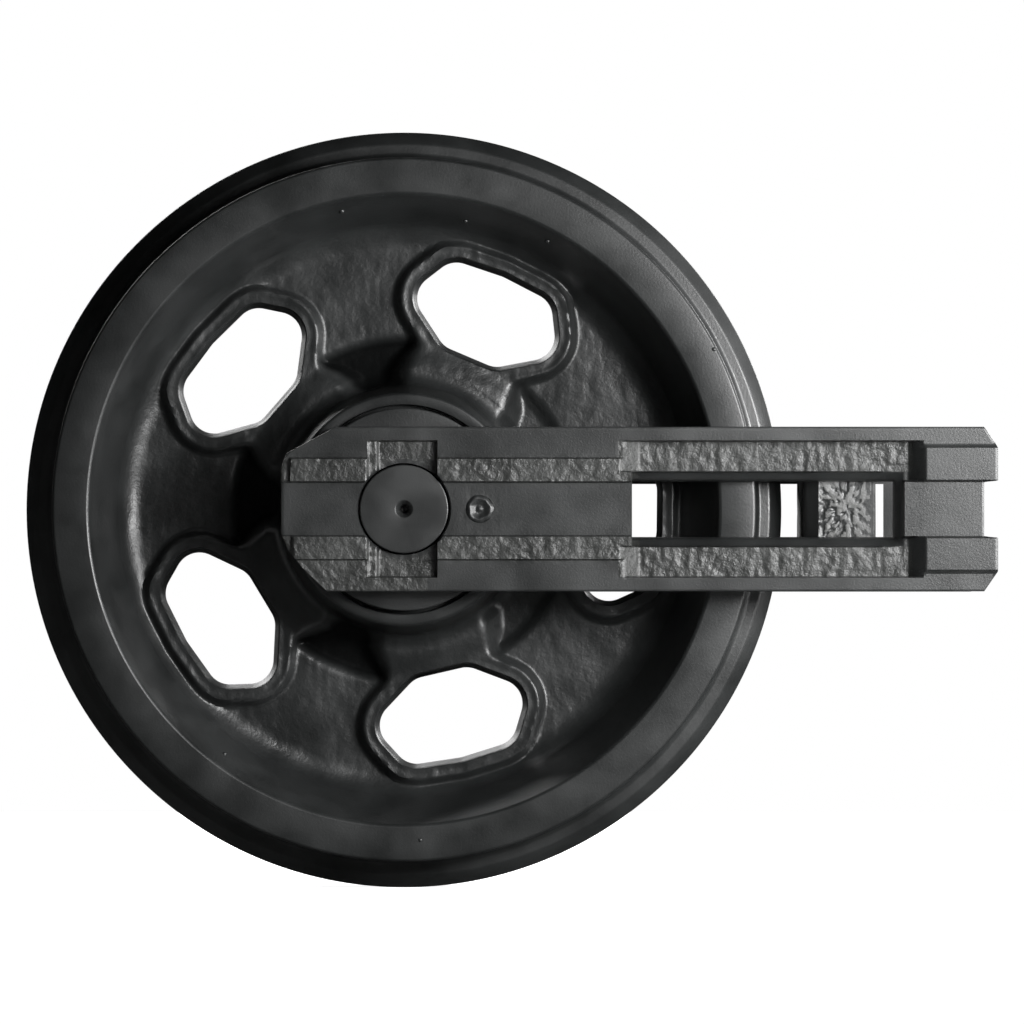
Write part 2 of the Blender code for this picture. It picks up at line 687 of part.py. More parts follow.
def arm_reliefs(side):
    """The cut shapes of the arm's outer face, by name."""
    above = ARM_INNER + RIB_LEVEL + OVERCUT
    below = ARM_INNER - OVERCUT

    def level(height):
        return ARM_INNER + height

    slot = rectangle(SLOT_BACK, SLOT_FRONT, -SLOT_HALF_H, SLOT_HALF_H)
    channel = rectangle(NOSE_X - OVERCUT, WINDOW_START + OVERLAP, -CHANNEL_HALF, CHANNEL_HALF)
    recess = rectangle(WINDOW_END - OVERLAP, ARM_TAIL + OVERCUT, -END_RECESS_HALF, END_RECESS_HALF)
    throat = rectangle(WINDOW_START, WINDOW_END - WINDOW_FLARE_X, -WINDOW_HALF_H, WINDOW_HALF_H)
    flare_half = WINDOW_HALF_H + WINDOW_FLARE_H
    mouth = rectangle(WINDOW_START, WINDOW_END, -flare_half, flare_half)
    strip_foot_x = (RIB_END + STRIP_RUN_IN, WINDOW_END + STRIP_PAST_WINDOW)
    rise = (RIB_LEVEL + OVERCUT - STRIP_LEVEL) / (RIB_LEVEL - STRIP_LEVEL)
    strip_head_x = (strip_foot_x[0] - STRIP_RUN_IN * rise, strip_foot_x[1] + STRIP_RUN_OUT * rise)
    end_start = strip_foot_x[1] - STRIP_END_L
    shapes = {
        "slot": plate(slot, slot, level(SLOT_LEVEL), above, side),
        "channel": plate(channel, channel, level(CHANNEL_LEVEL), above, side),
        "tail_recess": plate(recess, recess, level(CHANNEL_LEVEL), above, side),
        "window_throat": plate(throat, throat, below, level(WINDOW_THROAT_LEVEL) + OVERLAP, side),
        "window_flare": plate(throat, mouth, level(WINDOW_THROAT_LEVEL), level(STRIP_LEVEL), side),
        "window_mouth": plate(mouth, mouth, level(STRIP_LEVEL), above, side),
    }
    for place, sign in (("upper", 1), ("lower", -1)):
        low_z, high_z = sorted((sign * (flare_half - OVERLAP), sign * STRIP_TOP))
        foot = rectangle(*strip_foot_x, low_z, high_z)
        head = rectangle(*strip_head_x, low_z, high_z)
        shapes[place + "_strip"] = plate(foot, head, level(STRIP_LEVEL), above, side)
        low_z, high_z = sorted((sign * END_RECESS_HALF, sign * STRIP_TOP))
        foot = rectangle(end_start, strip_foot_x[1], low_z, high_z)
        head = rectangle(end_start, strip_head_x[1], low_z, high_z)
        shapes[place + "_strip_end"] = plate(foot, head, level(STRIP_LEVEL), above, side)
    return shapes


def make_arm(place, side, material):
    """One cast guide arm with its boss, ribs, strips, window and holes."""
    outline = arm_outline()
    ledge = ARM_INNER + LEDGE_LEVEL
    arm = solid(place + "_arm", *plate(outline, outline, ARM_INNER, ledge, side), material)
    boss = turned(on_side(boss_section(), side), SHAFT_STEPS)
    ribs = {}
    rib_top = CHANNEL_HALF + RIB_H
    low = ARM_INNER + CHANNEL_LEVEL - OVERLAP
    high = ARM_INNER + RIB_LEVEL
    for name, start, low_z, high_z in (("upper", UPPER_RIB_START, CHANNEL_HALF, rib_top),
                                       ("lower", LOWER_RIB_START, -rib_top, -CHANNEL_HALF)):
        band = rectangle(start, RIB_END + STRIP_RUN_IN, low_z, high_z)
        ribs[name + "_rib"] = plate(band, band, low, high, side)
    for name, low_z, high_z in (("upper", END_RECESS_HALF, END_RIB_TOP),
                                ("lower", -END_RIB_TOP, -END_RECESS_HALF)):
        band = rectangle(WINDOW_END + END_RIB_SETBACK, ARM_TAIL, low_z, high_z)
        ribs[name + "_tail_rib"] = plate(band, band, low, high, side)
    shape_with(arm, cutter(place + "_boss", boss), "UNION")
    for name, shape in ribs.items():
        shape_with(arm, cutter(place + "_" + name, shape), "UNION")
    for name, shape in arm_reliefs(side).items():
        shape_with(arm, cutter(place + "_" + name, shape), "DIFFERENCE")
    bore = drum(JOURNAL_BORE_R, SLEEVE_END - OVERCUT, high + OVERCUT, SHAFT_STEPS, side)
    shape_with(arm, cutter(place + "_journal_bore", bore), "DIFFERENCE")
    pin_out = side * LOCK_PIN_OUT
    pin_foot = ARM_HALF_H - LOCK_PIN_SUNK - LOCK_PIN_L - FIT_GAP
    pin_hole = rod(LOCK_PIN_R + FIT_GAP, Vector((LOCK_PIN_X, pin_out, pin_foot)),
                   Vector((LOCK_PIN_X, pin_out, ARM_HALF_H + OVERCUT)), PIN_STEPS)
    shape_with(arm, cutter(place + "_pin_hole", pin_hole), "DIFFERENCE")
    channel = ARM_INNER + CHANNEL_LEVEL
    plug_hole = drum(ARM_PLUG_R + FIT_GAP, channel - ARM_PLUG_DEPTH, channel + OVERCUT,
                     PIN_STEPS, side, ARM_PLUG_X)
    shape_with(arm, cutter(place + "_plug_hole", plug_hole), "DIFFERENCE")
    return smooth(arm, 30.0)


def make_cross_member(material):
    """The beam that ties the arms behind the wheel, with its weld beads."""
    end = ARM_INNER - FIT_GAP
    shoulder = end - CROSS_TAPER_RUN
    tapered = CROSS_FRONT + CROSS_TAPER
    plan = [(tapered, -end), (CROSS_REAR, -end), (CROSS_REAR, end), (tapered, end),
            (CROSS_FRONT, shoulder), (CROSS_FRONT, -shoulder)]
    beam = solid("cross_member", *upright(plan, -CROSS_HALF_H, CROSS_HALF_H), material)
    low = WINDOW_HALF_H + OVERLAP
    high = CROSS_HALF_H - WELD_SETBACK
    beads = {"front_bead": (tapered, -1, FRONT_BEAD), "rear_bead": (CROSS_REAR, 1, REAR_BEAD)}
    for side, place in ((-1, "near"), (1, "far")):
        for bead, (face, away, corners) in beads.items():
            section = [(face - away * OVERLAP, side * end)]
            section += [(face + away * out * WELD_LEG, side * (end - inward * WELD_LEG))
                        for out, inward in corners]
            for name, low_z, high_z in (("upper", low, high), ("lower", -high, -low)):
                helper = cutter("_".join((place, name, bead)), upright(section, low_z, high_z))
                shape_with(beam, helper, "UNION")
    return beam


def make_lock_pin(place, side, material):
    """A plain dowel driven down through the arm, past the notch in the shaft."""
    top = ARM_HALF_H - LOCK_PIN_SUNK
    foot = top - LOCK_PIN_L
    start = Vector((LOCK_PIN_X, side * LOCK_PIN_OUT, foot))
    end = Vector((LOCK_PIN_X, side * LOCK_PIN_OUT, top))
    pin = solid(place + "_lock_pin", *rod(LOCK_PIN_R, start, end, PIN_STEPS), material)
    bevel = pin.modifiers.new("end_chamfers", "BEVEL")
    bevel.width = LOCK_PIN_CHAMFER
    bevel.segments = 1
    bevel.limit_method = "ANGLE"
    bevel.angle_limit = math.radians(60.0)
    return smooth(pin)


def make_arm_plug(place, side, material):
    """A small plug driven into the arm's channel, with a low peened head."""
    face = ARM_INNER + CHANNEL_LEVEL
    foot = face - ARM_PLUG_DEPTH + FIT_GAP
    section = [(0.0, foot), (ARM_PLUG_R, foot)]
    section += [(wide * ARM_PLUG_R, face + high * ARM_PLUG_PROUD) for wide, high in ARM_PLUG_DOME]
    verts, faces = turned(on_side(section, side), PIN_STEPS)
    verts = [(x + ARM_PLUG_X, y, z) for x, y, z in verts]
    return smooth(solid(place + "_arm_plug", verts, faces, material))


def make_oil_plug(material):
    """The screwed plug in the shaft's far end, with a hexagon socket."""
    head = SHAFT_END - OIL_PLUG_SUNK
    foot = SHAFT_END - OIL_PLUG_DEPTH + FIT_GAP
    section = [(0.0, foot), (OIL_PLUG_R, foot), (OIL_PLUG_R, head), (0.0, head)]
    plug = solid("oil_plug", *turned(section, PIN_STEPS), material)
    socket = rod(OIL_SOCKET_R, Vector((0.0, head - OIL_SOCKET_DEPTH, 0.0)),
                 Vector((0.0, head + OVERCUT, 0.0)), 6)
    shape_with(plug, cutter("oil_plug_socket", socket), "DIFFERENCE")
    return smooth(plug)


def main():
    clear_scene()
    paint = finish("black_paint_on_casting", (0.030, 0.031, 0.033), 0.45, 0.0)
    arm_paint = finish("black_paint_on_arms", (0.034, 0.035, 0.037), 0.42, 0.0)
    beam_paint = finish("black_paint_on_beam", (0.036, 0.037, 0.038), 0.50, 0.0)
    steel = finish("painted_shaft_steel", (0.045, 0.046, 0.048), 0.38, 0.2)
    pin_steel = finish("pin_steel", (0.30, 0.30, 0.31), 0.35, 1.0)
    plug_steel = finish("plug_steel", (0.05, 0.05, 0.052), 0.45, 0.3)
    bronze = finish("bush_bronze", (0.60, 0.42, 0.20), 0.35, 1.0)
    seal_iron = finish("lapped_seal_iron", (0.45, 0.45, 0.46), 0.25, 1.0)
    rubber = finish("nitrile_rubber", (0.015, 0.015, 0.016), 0.75, 0.0)

    axle = bpy.data.objects.new("wheel_axis", None)
    bpy.context.scene.collection.objects.link(axle)

    smooth(solid("idler_wheel", *wheel_shape(), paint, axle), 30.0)
    make_shaft(steel)
    make_cross_member(beam_paint)
    make_oil_plug(plug_steel)
    for place, side in (("near", -1), ("far", 1)):
        make_arm(place, side, arm_paint)
        bush = turned(on_side(bush_section(), side), SHAFT_STEPS)
        smooth(solid(place + "_bush", *bush, bronze, axle))
        for name, facing, parent in (("rotating", -1, axle), ("fixed", 1, None)):
            ring = turned(on_side(seal_ring_section(facing), side), SEAL_STEPS)
            smooth(solid("_".join((place, name, "seal_ring")), *ring, seal_iron, parent))
            toric_out = SEAL_PLANE + facing * (0.5 * SEAL_FACE_GAP + TORIC_AT)
            section = round_section(TORIC_MID_R, toric_out, TORIC_R, TORIC_SIDES)
            toric = turned(on_side(section, side), SEAL_STEPS)
            smooth(solid("_".join((place, name, "toric")), *toric, rubber, parent), 70.0)
        o_ring_mid = JOURNAL_R - O_RING_R
        section = round_section(o_ring_mid, O_RING_OUT, O_RING_R, O_RING_SIDES)
        o_ring = turned(on_side(section, side), O_RING_STEPS)
        smooth(solid(place + "_shaft_o_ring", *o_ring, rubber), 70.0)
        make_lock_pin(place, side, pin_steel)
        make_arm_plug(place, side, plug_steel)


main()
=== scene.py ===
"""Front idler of an excavator, dressed for a picture: black satin paint over sand-cast steel."""
import math

import bmesh
import bpy
import numpy as np
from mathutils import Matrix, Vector


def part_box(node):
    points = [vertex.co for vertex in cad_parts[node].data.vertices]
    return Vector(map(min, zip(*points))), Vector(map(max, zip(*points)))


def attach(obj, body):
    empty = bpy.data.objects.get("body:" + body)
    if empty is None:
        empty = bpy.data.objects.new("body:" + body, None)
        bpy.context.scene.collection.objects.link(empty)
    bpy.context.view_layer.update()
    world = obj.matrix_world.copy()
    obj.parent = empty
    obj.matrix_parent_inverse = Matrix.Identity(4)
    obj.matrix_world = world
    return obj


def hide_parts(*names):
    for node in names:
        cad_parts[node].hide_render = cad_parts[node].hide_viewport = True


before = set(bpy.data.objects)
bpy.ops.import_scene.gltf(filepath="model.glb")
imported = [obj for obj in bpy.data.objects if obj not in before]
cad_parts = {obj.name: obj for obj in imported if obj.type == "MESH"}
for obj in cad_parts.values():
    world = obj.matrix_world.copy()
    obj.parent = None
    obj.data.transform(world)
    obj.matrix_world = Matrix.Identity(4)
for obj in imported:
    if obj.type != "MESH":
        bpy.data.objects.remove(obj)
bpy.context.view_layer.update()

# Studio. A pale floor under the wheel, soft lamps at the right with a weak fill for the back,
# black cards for the reflections, and a white surround as for a cut-out picture in a parts list.
wheel_low, wheel_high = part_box("idler_wheel")


def new_material(name):
    """A fresh node material: returns it with its node list, its link list and its shader."""
    material = bpy.data.materials.new(name)
    material.use_nodes = True
    nodes = material.node_tree.nodes
    return material, nodes, material.node_tree.links, nodes["Principled BSDF"]


def seen_directly(tree):
    """One where a ray comes from the camera or from a mirror or glass, and nought elsewhere."""
    path = tree.nodes.new("ShaderNodeLightPath")
    first = tree.nodes.new("ShaderNodeMath")
    first.operation = "MAXIMUM"
    second = tree.nodes.new("ShaderNodeMath")
    second.operation = "MAXIMUM"
    tree.links.new(path.outputs["Is Camera Ray"], first.inputs[0])
    tree.links.new(path.outputs["Is Transmission Ray"], first.inputs[1])
    tree.links.new(first.outputs[0], second.inputs[0])
    tree.links.new(path.outputs["Is Glossy Ray"], second.inputs[1])
    return second.outputs[0]


floor_mesh = bpy.data.meshes.new("floor")
floor_mesh.from_pydata([(-3.0, -3.0, wheel_low.z), (3.4, -3.0, wheel_low.z),
                        (3.4, 3.0, wheel_low.z), (-3.0, 3.0, wheel_low.z)], [], [(0, 1, 2, 3)])
floor = bpy.data.objects.new("floor", floor_mesh)
bpy.context.scene.collection.objects.link(floor)
floor_finish, floor_nodes, floor_links, floor_shader = new_material("pale_floor")
floor_shader.inputs["Base Color"].default_value = (0.85, 0.85, 0.85, 1.0)
floor_shader.inputs["Roughness"].default_value = 0.9
floor_shader.inputs["Specular IOR Level"].default_value = 0.0
floor_glow = floor_nodes.new("ShaderNodeMath")
floor_glow.operation = "MULTIPLY"
floor_glow.inputs[1].default_value = 0.94
floor_links.new(seen_directly(floor_finish.node_tree), floor_glow.inputs[0])
floor_shader.inputs["Emission Color"].default_value = (1.0, 1.0, 1.0, 1.0)
floor_links.new(floor_glow.outputs[0], floor_shader.inputs["Emission Strength"])
floor_mesh.materials.append(floor_finish)

surround = bpy.data.worlds.new("surround")
bpy.context.scene.world = surround
surround.use_nodes = True
sky = surround.node_tree.nodes["Background"]
sky.inputs["Color"].default_value = (1.0, 1.0, 1.0, 1.0)
sky_level = surround.node_tree.nodes.new("ShaderNodeMapRange")
sky_level.inputs["To Min"].default_value = 0.03
sky_level.inputs["To Max"].default_value = 1.0
surround.node_tree.links.new(seen_directly(surround.node_tree), sky_level.inputs["Value"])
surround.node_tree.links.new(sky_level.outputs[0], sky.inputs["Strength"])


def soft_lamp(name, place, aim, width, height, power):
    """A rectangular lamp at a place, turned to face another."""
    data = bpy.data.lights.new(name, "AREA")
    data.shape = "RECTANGLE"
    data.size = width
    data.size_y = height
    data.energy = power
    lamp = bpy.data.objects.new(name, data)
    bpy.context.scene.collection.objects.link(lamp)
    lamp.location = place
    lamp.rotation_euler = (Vector(aim) - Vector(place)).to_track_quat("-Z", "Y").to_euler()


def dark_screen(name, place, aim, width, height):
    """A black card that only reflections meet, to keep the bright surround off the paint."""
    turn = (Vector(aim) - Vector(place)).to_track_quat("Z", "Y")
    corners = [Vector(place) + turn @ Vector((x * width / 2.0, y * height / 2.0, 0.0))
               for x, y in ((-1, -1), (1, -1), (1, 1), (-1, 1))]
    mesh = bpy.data.meshes.new(name)
    mesh.from_pydata(corners, [], [(0, 1, 2, 3)])
    screen = bpy.data.objects.new(name, mesh)
    bpy.context.scene.collection.objects.link(screen)
    mesh.materials.append(screen_finish)
    screen.visible_camera = False
    screen.visible_diffuse = False
    screen.visible_shadow = False


screen_finish, _, _, screen_shader = new_material("black_screen")
screen_shader.inputs["Base Color"].default_value = (0.01, 0.01, 0.01, 1.0)
screen_shader.inputs["Roughness"].default_value = 1.0
screen_shader.inputs["Specular IOR Level"].default_value = 0.0
soft_lamp("key_lamp", (0.90, -1.05, 0.20), (0.20, 0.0, 0.0), 0.36, 0.36, 22.0)
soft_lamp("side_lamp", (0.62, -1.22, 0.30), (0.25, 0.0, 0.0), 0.34, 0.34, 4.0)
soft_lamp("rear_lamp", (1.3, 1.5, 0.5), (0.1, 0.0, 0.0), 0.8, 0.8, 18.0)
soft_lamp("back_lamp", (-1.0, 2.6, 1.2), (0.1, 0.0, 0.0), 1.4, 1.4, 110.0)
soft_lamp("low_lamp", (1.05, -0.42, 0.06), (0.15, 0.0, 0.0), 0.35, 0.35, 9.0)
dark_screen("front_screen", (-0.6, -3.6, 0.4), (0.0, 0.0, 0.0), 6.0, 6.0)
dark_screen("left_screen", (-2.2, 0.0, 0.4), (0.0, 0.0, 0.0), 6.0, 6.0)
dark_screen("rear_screen", (-0.3, 2.0, 0.4), (0.0, 0.0, 0.0), 5.0, 5.0)
dark_screen("high_screen", (-0.2, 0.0, 1.9), (-0.2, 0.0, 0.0), 4.0, 5.0)
dark_screen("low_screen", (0.0, 0.0, -0.2797), (0.0, 0.0, 1.0), 5.0, 5.0)

camera_data = bpy.data.cameras.new("side_camera")
camera_data.lens = 401.3
camera_data.sensor_width = 36.0
camera = bpy.data.objects.new("side_camera", camera_data)
bpy.context.scene.collection.objects.link(camera)
camera.location = (0.0, -8.5, -0.07)
camera.rotation_euler = (Vector((0.0804, 0.0, -0.0013)) - camera.location).to_track_quat(
    "-Z", "Y").to_euler()
bpy.context.scene.camera = camera
bpy.context.scene.view_settings.view_transform = "Standard"


# Idler wheel. One sand casting in steel: rim with its treads and guide flange, a web with five
# rounded holes in raised petals, and a hub with seal pockets. Fettled, turned and painted black.
WHEEL_STEPS_PER_HOLE = 56
WHEEL_HOLES = 5
WHEEL_HOLE_TURN = math.radians(67.0)
WHEEL_PITCH = 2.0 * math.pi / WHEEL_HOLES
FLANGE_R = wheel_high.z
TREAD_R = 0.260
RIM_HALF = 0.077
RIM_INNER_R = 0.233
RIM_DRAFT = math.radians(22.0)
WEB_HALF = 0.014
WEB_FILLET = 0.022
WEB_INNER_R = 0.1040
HUB_FILLET = 0.012
PIT_HALF = 0.008
PIT_EDGE_R = WEB_INNER_R + 0.022
PETAL_HALF = 0.022
PETAL_RISE = 0.005
PETAL_WALL = 0.007
PETAL_NECK = 0.031
LIP_WIDTH = 0.013
HOLE_DRAFT = 0.004
HOLE_CORNER = 0.018
HOLE_INNER_R = WEB_INNER_R + 0.020
WEB_TANGENT_OUT = WEB_HALF + WEB_FILLET * (1.0 - math.sin(RIM_DRAFT))
WEB_TANGENT_R = RIM_INNER_R - (RIM_HALF - WEB_TANGENT_OUT) * math.tan(RIM_DRAFT)
WEB_EDGE_R = WEB_TANGENT_R - WEB_FILLET * math.cos(RIM_DRAFT)
HOLE_OUTER_R = WEB_EDGE_R - 0.004
HOLE_MID_R = 0.5 * (HOLE_INNER_R + HOLE_OUTER_R)
PETAL_BLEND = 0.006
NECK_FLARE = 0.22
EDGE_ROUND = 0.0016
FLANGE_ROOT_HALF = 0.041
FLANGE_TIP_HALF = 0.033
HUB_HALF = 0.075
HUB_OUTER_R = 0.0862
HUB_MOUTH_R = 0.0773
HUB_MOUTH_FLOOR = 0.066
SEAL_POCKET_R = 0.0641
SEAL_POCKET_FLOOR = 0.052
BUSH_SEAT_R = 0.0438
OIL_ROOM_R = 0.0498
OIL_ROOM_HALF = 0.012


def ease(share):
    """A smooth step: three times the square less twice the cube, held between nought and one."""
    share = np.clip(share, 0.0, 1.0)
    return share * share * (3.0 - 2.0 * share)


def lumps(points, size, seed):
    """Smooth random heights from -1 to 1 over points in space.

    Each corner of a lattice of cubes of that size has a random height, and a point takes the
    mix of its cube's eight corners, eased along each side.
    """
    cells = points / size
    low = np.floor(cells).astype(np.int64)
    share = cells - low
    share = share * share * (3.0 - 2.0 * share)
    heights = np.random.default_rng(seed).uniform(-1.0, 1.0, 4096)
    total = np.zeros(points.shape[:-1])
    for corner in range(8):
        step = np.array([corner & 1, corner >> 1 & 1, corner >> 2 & 1])
        at = low + step
        weight = np.prod(np.where(step == 1, share, 1.0 - share), axis=-1)
        key = at[..., 0] * 73856093 ^ at[..., 1] * 19349663 ^ at[..., 2] * 83492791
        total += weight * heights[key % 4096]
    return total


def hole_skeleton():
    """Corners of the hole's outline drawn in by its corner radius, clockwise from the top middle."""
    top = HOLE_OUTER_R - HOLE_CORNER
    crown = HOLE_OUTER_R - math.sqrt(HOLE_OUTER_R ** 2 - 0.029 ** 2)
    right = [(0.0, top), (0.029, top - crown), (0.036, top - 0.0147),
             (0.015, HOLE_INNER_R + HOLE_CORNER)]
    return np.array(right + [(-u, v) for u, v in right[:0:-1]])


def from_skeleton(u, v):
    """Signed distance from the skeleton: the least distance to its edges, less than nought inside."""
    nearest = np.full(u.shape, 1.0)
    outside = np.zeros(u.shape, bool)
    corners = hole_skeleton()
    for start, end in zip(corners, np.roll(corners, -1, axis=0)):
        along = end - start
        length = np.hypot(*along)
        share = np.clip(((u - start[0]) * along[0] + (v - start[1]) * along[1]) / length ** 2, 0.0, 1.0)
        nearest = np.minimum(nearest, np.hypot(u - start[0] - share * along[0],
                                               v - start[1] - share * along[1]))
        outside |= (v - start[1]) * along[0] - (u - start[0]) * along[1] > 0.0
    return np.where(outside, nearest, -nearest)


def web_height(radius, angle):
    """Height of the web's face above the middle plane, before its cast roughness.

    The plain web drops into a pit by the hub and sweeps up into the rim on a fillet. A petal
    stands over it, level within a set distance of the hole and of the neck that runs in to
    the hub, and falls away over the width of its wall, which widens on the neck. The two
    distances blend by a soft minimum. A rounded lip follows the petal's edge, with a shallow
    groove inside it.
    """
    base = PIT_HALF + (WEB_HALF - PIT_HALF) * ease((radius - PIT_EDGE_R) / 0.010 + 0.5)
    rise = np.clip(radius - WEB_EDGE_R, 0.0, None)
    base = base + WEB_FILLET - np.sqrt(WEB_FILLET ** 2 - rise ** 2)
    u = radius * np.sin(angle)
    v = radius * np.cos(angle)
    around_hole = from_skeleton(u, v) - HOLE_CORNER - LIP_WIDTH
    flare = NECK_FLARE * np.clip(HOLE_INNER_R + 0.004 - v, 0.0, None)
    to_hub = np.maximum(np.abs(u) - PETAL_NECK - flare, v - HOLE_MID_R)
    near_either = np.exp(-around_hole / PETAL_BLEND) + np.exp(-to_hub / PETAL_BLEND)
    outside = 0.002 - PETAL_BLEND * np.log(near_either)
    petal = PETAL_HALF + PETAL_RISE * ease((HOLE_INNER_R - radius) / 0.020)
    wall = PETAL_WALL * (1.0 + 1.6 * ease((HOLE_INNER_R + 0.004 - radius) / 0.016))
    lip = 0.0004 * np.exp(-((around_hole + 0.0015) / 0.0022) ** 2)
    groove = 0.0002 * np.exp(-((around_hole + 0.0062) / 0.0018) ** 2)
    shown = ease((radius - HOLE_INNER_R + 0.004) / 0.010)
    petal = petal + shown * (lip - groove)
    return base + np.clip(petal - base, 0.0, None) * (1.0 - ease(outside / wall))


def cast_skin(points):
    """Height of the sand's print on the casting: soft swells, grains, and marks drawn out upwards."""
    upright = points * np.array([1.0, 1.0, 0.3])
    return (0.0004 * lumps(points, 0.018, 3) + 0.00021 * lumps(points, 0.0055, 4)
            + 0.00016 * lumps(upright, 0.0036, 6))


def even_outline(count):
    """Evenly spaced points and outward angles round the hole, clockwise from its outer middle.

    The skeleton's corners become arcs of the corner radius, and the path is cut by length.
    """
    corners = hole_skeleton()
    edges = np.roll(corners, -1, axis=0) - corners
    facing = np.arctan2(edges[:, 0], -edges[:, 1])
    before = np.roll(facing, 1)
    before[0] = 0.5 * math.pi
    bend = (before - facing) % (2.0 * math.pi)
    angles = before[:, None] - bend[:, None] * np.linspace(0.0, 1.0, 25)
    closing = facing[-1] - ((facing[-1] - 0.5 * math.pi) % (2.0 * math.pi)) * np.linspace(0.0, 1.0, 25)
    angles = np.concatenate([angles.ravel(), closing])
    centres = np.concatenate([np.repeat(corners, 25, axis=0), np.repeat(corners[:1], 25, axis=0)])
    angles = np.unwrap(angles)
    path = centres + HOLE_CORNER * np.stack([np.cos(angles), np.sin(angles)], axis=1)
    lengths = np.concatenate([[0.0], np.cumsum(np.hypot(*np.diff(path, axis=0).T))])
    wanted = lengths[-1] * np.arange(count) / count
    return (np.interp(wanted, lengths, path[:, 0]), np.interp(wanted, lengths, path[:, 1]),
            np.interp(wanted, lengths, angles))


def web_grid(rings):
    """Radius, angle and rise of a sector of web, ring by ring from the hole out to the sector's edge.

    The first rings climb the drafted wall of the hole. From its top the others follow, for
    each point round the hole, a curve that starts square to the hole and ends on the edge.
    """
    half = 0.5 * WHEEL_PITCH
    across = np.linspace(-half, half, WHEEL_STEPS_PER_HOLE + 1)
    down = np.linspace(WEB_TANGENT_R, WEB_INNER_R, 42)[1:-1]
    edge_r = np.concatenate([np.full(across.size, WEB_TANGENT_R), down,
                             np.full(across.size, WEB_INNER_R), down[::-1]])
    edge_a = np.concatenate([across, np.full(down.size, half), across[::-1],
                             np.full(down.size, -half)])
    u, v, facing = even_outline(edge_r.size)
    shift = WHEEL_STEPS_PER_HOLE // 2
    u, v, facing = np.roll(u, shift), np.roll(v, shift), np.roll(facing, shift)
    normal_u, normal_v = np.cos(facing), np.sin(facing)
    end_u, end_v = edge_r * np.sin(edge_a), edge_r * np.cos(edge_a)
    wall = np.array([0.0, 0.0010, 0.0020, 0.0026, 0.0031, 0.0036, HOLE_DRAFT])
    rise = np.array([0.0, 0.30, 0.62, 0.82, 0.925, 0.98, 1.0])
    top_u, top_v = u + HOLE_DRAFT * normal_u, v + HOLE_DRAFT * normal_v
    reach = 0.42 * np.hypot(end_u - top_u, end_v - top_v)
    share = np.linspace(0.0, 1.0, rings)[1:, None]
    mid_u, mid_v = top_u + reach * normal_u, top_v + reach * normal_v
    curve_u = (1 - share) ** 2 * top_u + 2 * share * (1 - share) * mid_u + share ** 2 * end_u
    curve_v = (1 - share) ** 2 * top_v + 2 * share * (1 - share) * mid_v + share ** 2 * end_v
    grid_u = np.concatenate([u + wall[:, None] * normal_u, curve_u])
    grid_v = np.concatenate([v + wall[:, None] * normal_v, curve_v])
    rises = np.concatenate([rise, np.ones(curve_u.shape[0])])[:, None] * np.ones(u.size)
    return np.hypot(grid_u, grid_v), np.arctan2(grid_u, grid_v), rises


def joined(rows, columns, closed):
    """Corner numbers of the four-sided faces between the rows of a grid of points."""
    across = columns if closed else columns - 1
    row, column = np.meshgrid(np.arange(rows - 1), np.arange(across), indexing="ij")
    after = (column + 1) % columns
    return np.stack([row * columns + column, row * columns + after,
                     (row + 1) * columns + after, (row + 1) * columns + column], axis=-1).reshape(-1, 4)


def new_piece(name, points, faces, material, body, stands_for=(), slot=None, sharp=40.0):
    """A smooth-shaded mesh from an array of points and an array of corner numbers.

    Points that meet are merged, and the faces are turned to point outwards.
    """
    mesh = bpy.data.meshes.new(name)
    mesh.from_pydata(points.reshape(-1, 3).tolist(), [], faces.tolist())
    shape = bmesh.new()
    shape.from_mesh(mesh)
    bmesh.ops.remove_doubles(shape, verts=shape.verts, dist=0.000002)
    bmesh.ops.dissolve_degenerate(shape, dist=0.000001, edges=shape.edges)
    bmesh.ops.recalc_face_normals(shape, faces=shape.faces)
    shape.to_mesh(mesh)
    shape.free()
    mesh.shade_smooth()
    mesh.set_sharp_from_angle(angle=math.radians(sharp))
    mesh.materials.append(material)
    piece = bpy.data.objects.new(name, mesh)
    bpy.context.scene.collection.objects.link(piece)
    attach(piece, body)
    if stands_for:
        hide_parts(*stands_for)
    return piece


def round_points(radius, along, turn):
    """Points in space at a radius and a turn about the wheel's axis, along by a distance in Y."""
    return np.stack([radius * np.cos(turn), along + 0.0 * radius, radius * np.sin(turn)], axis=-1)


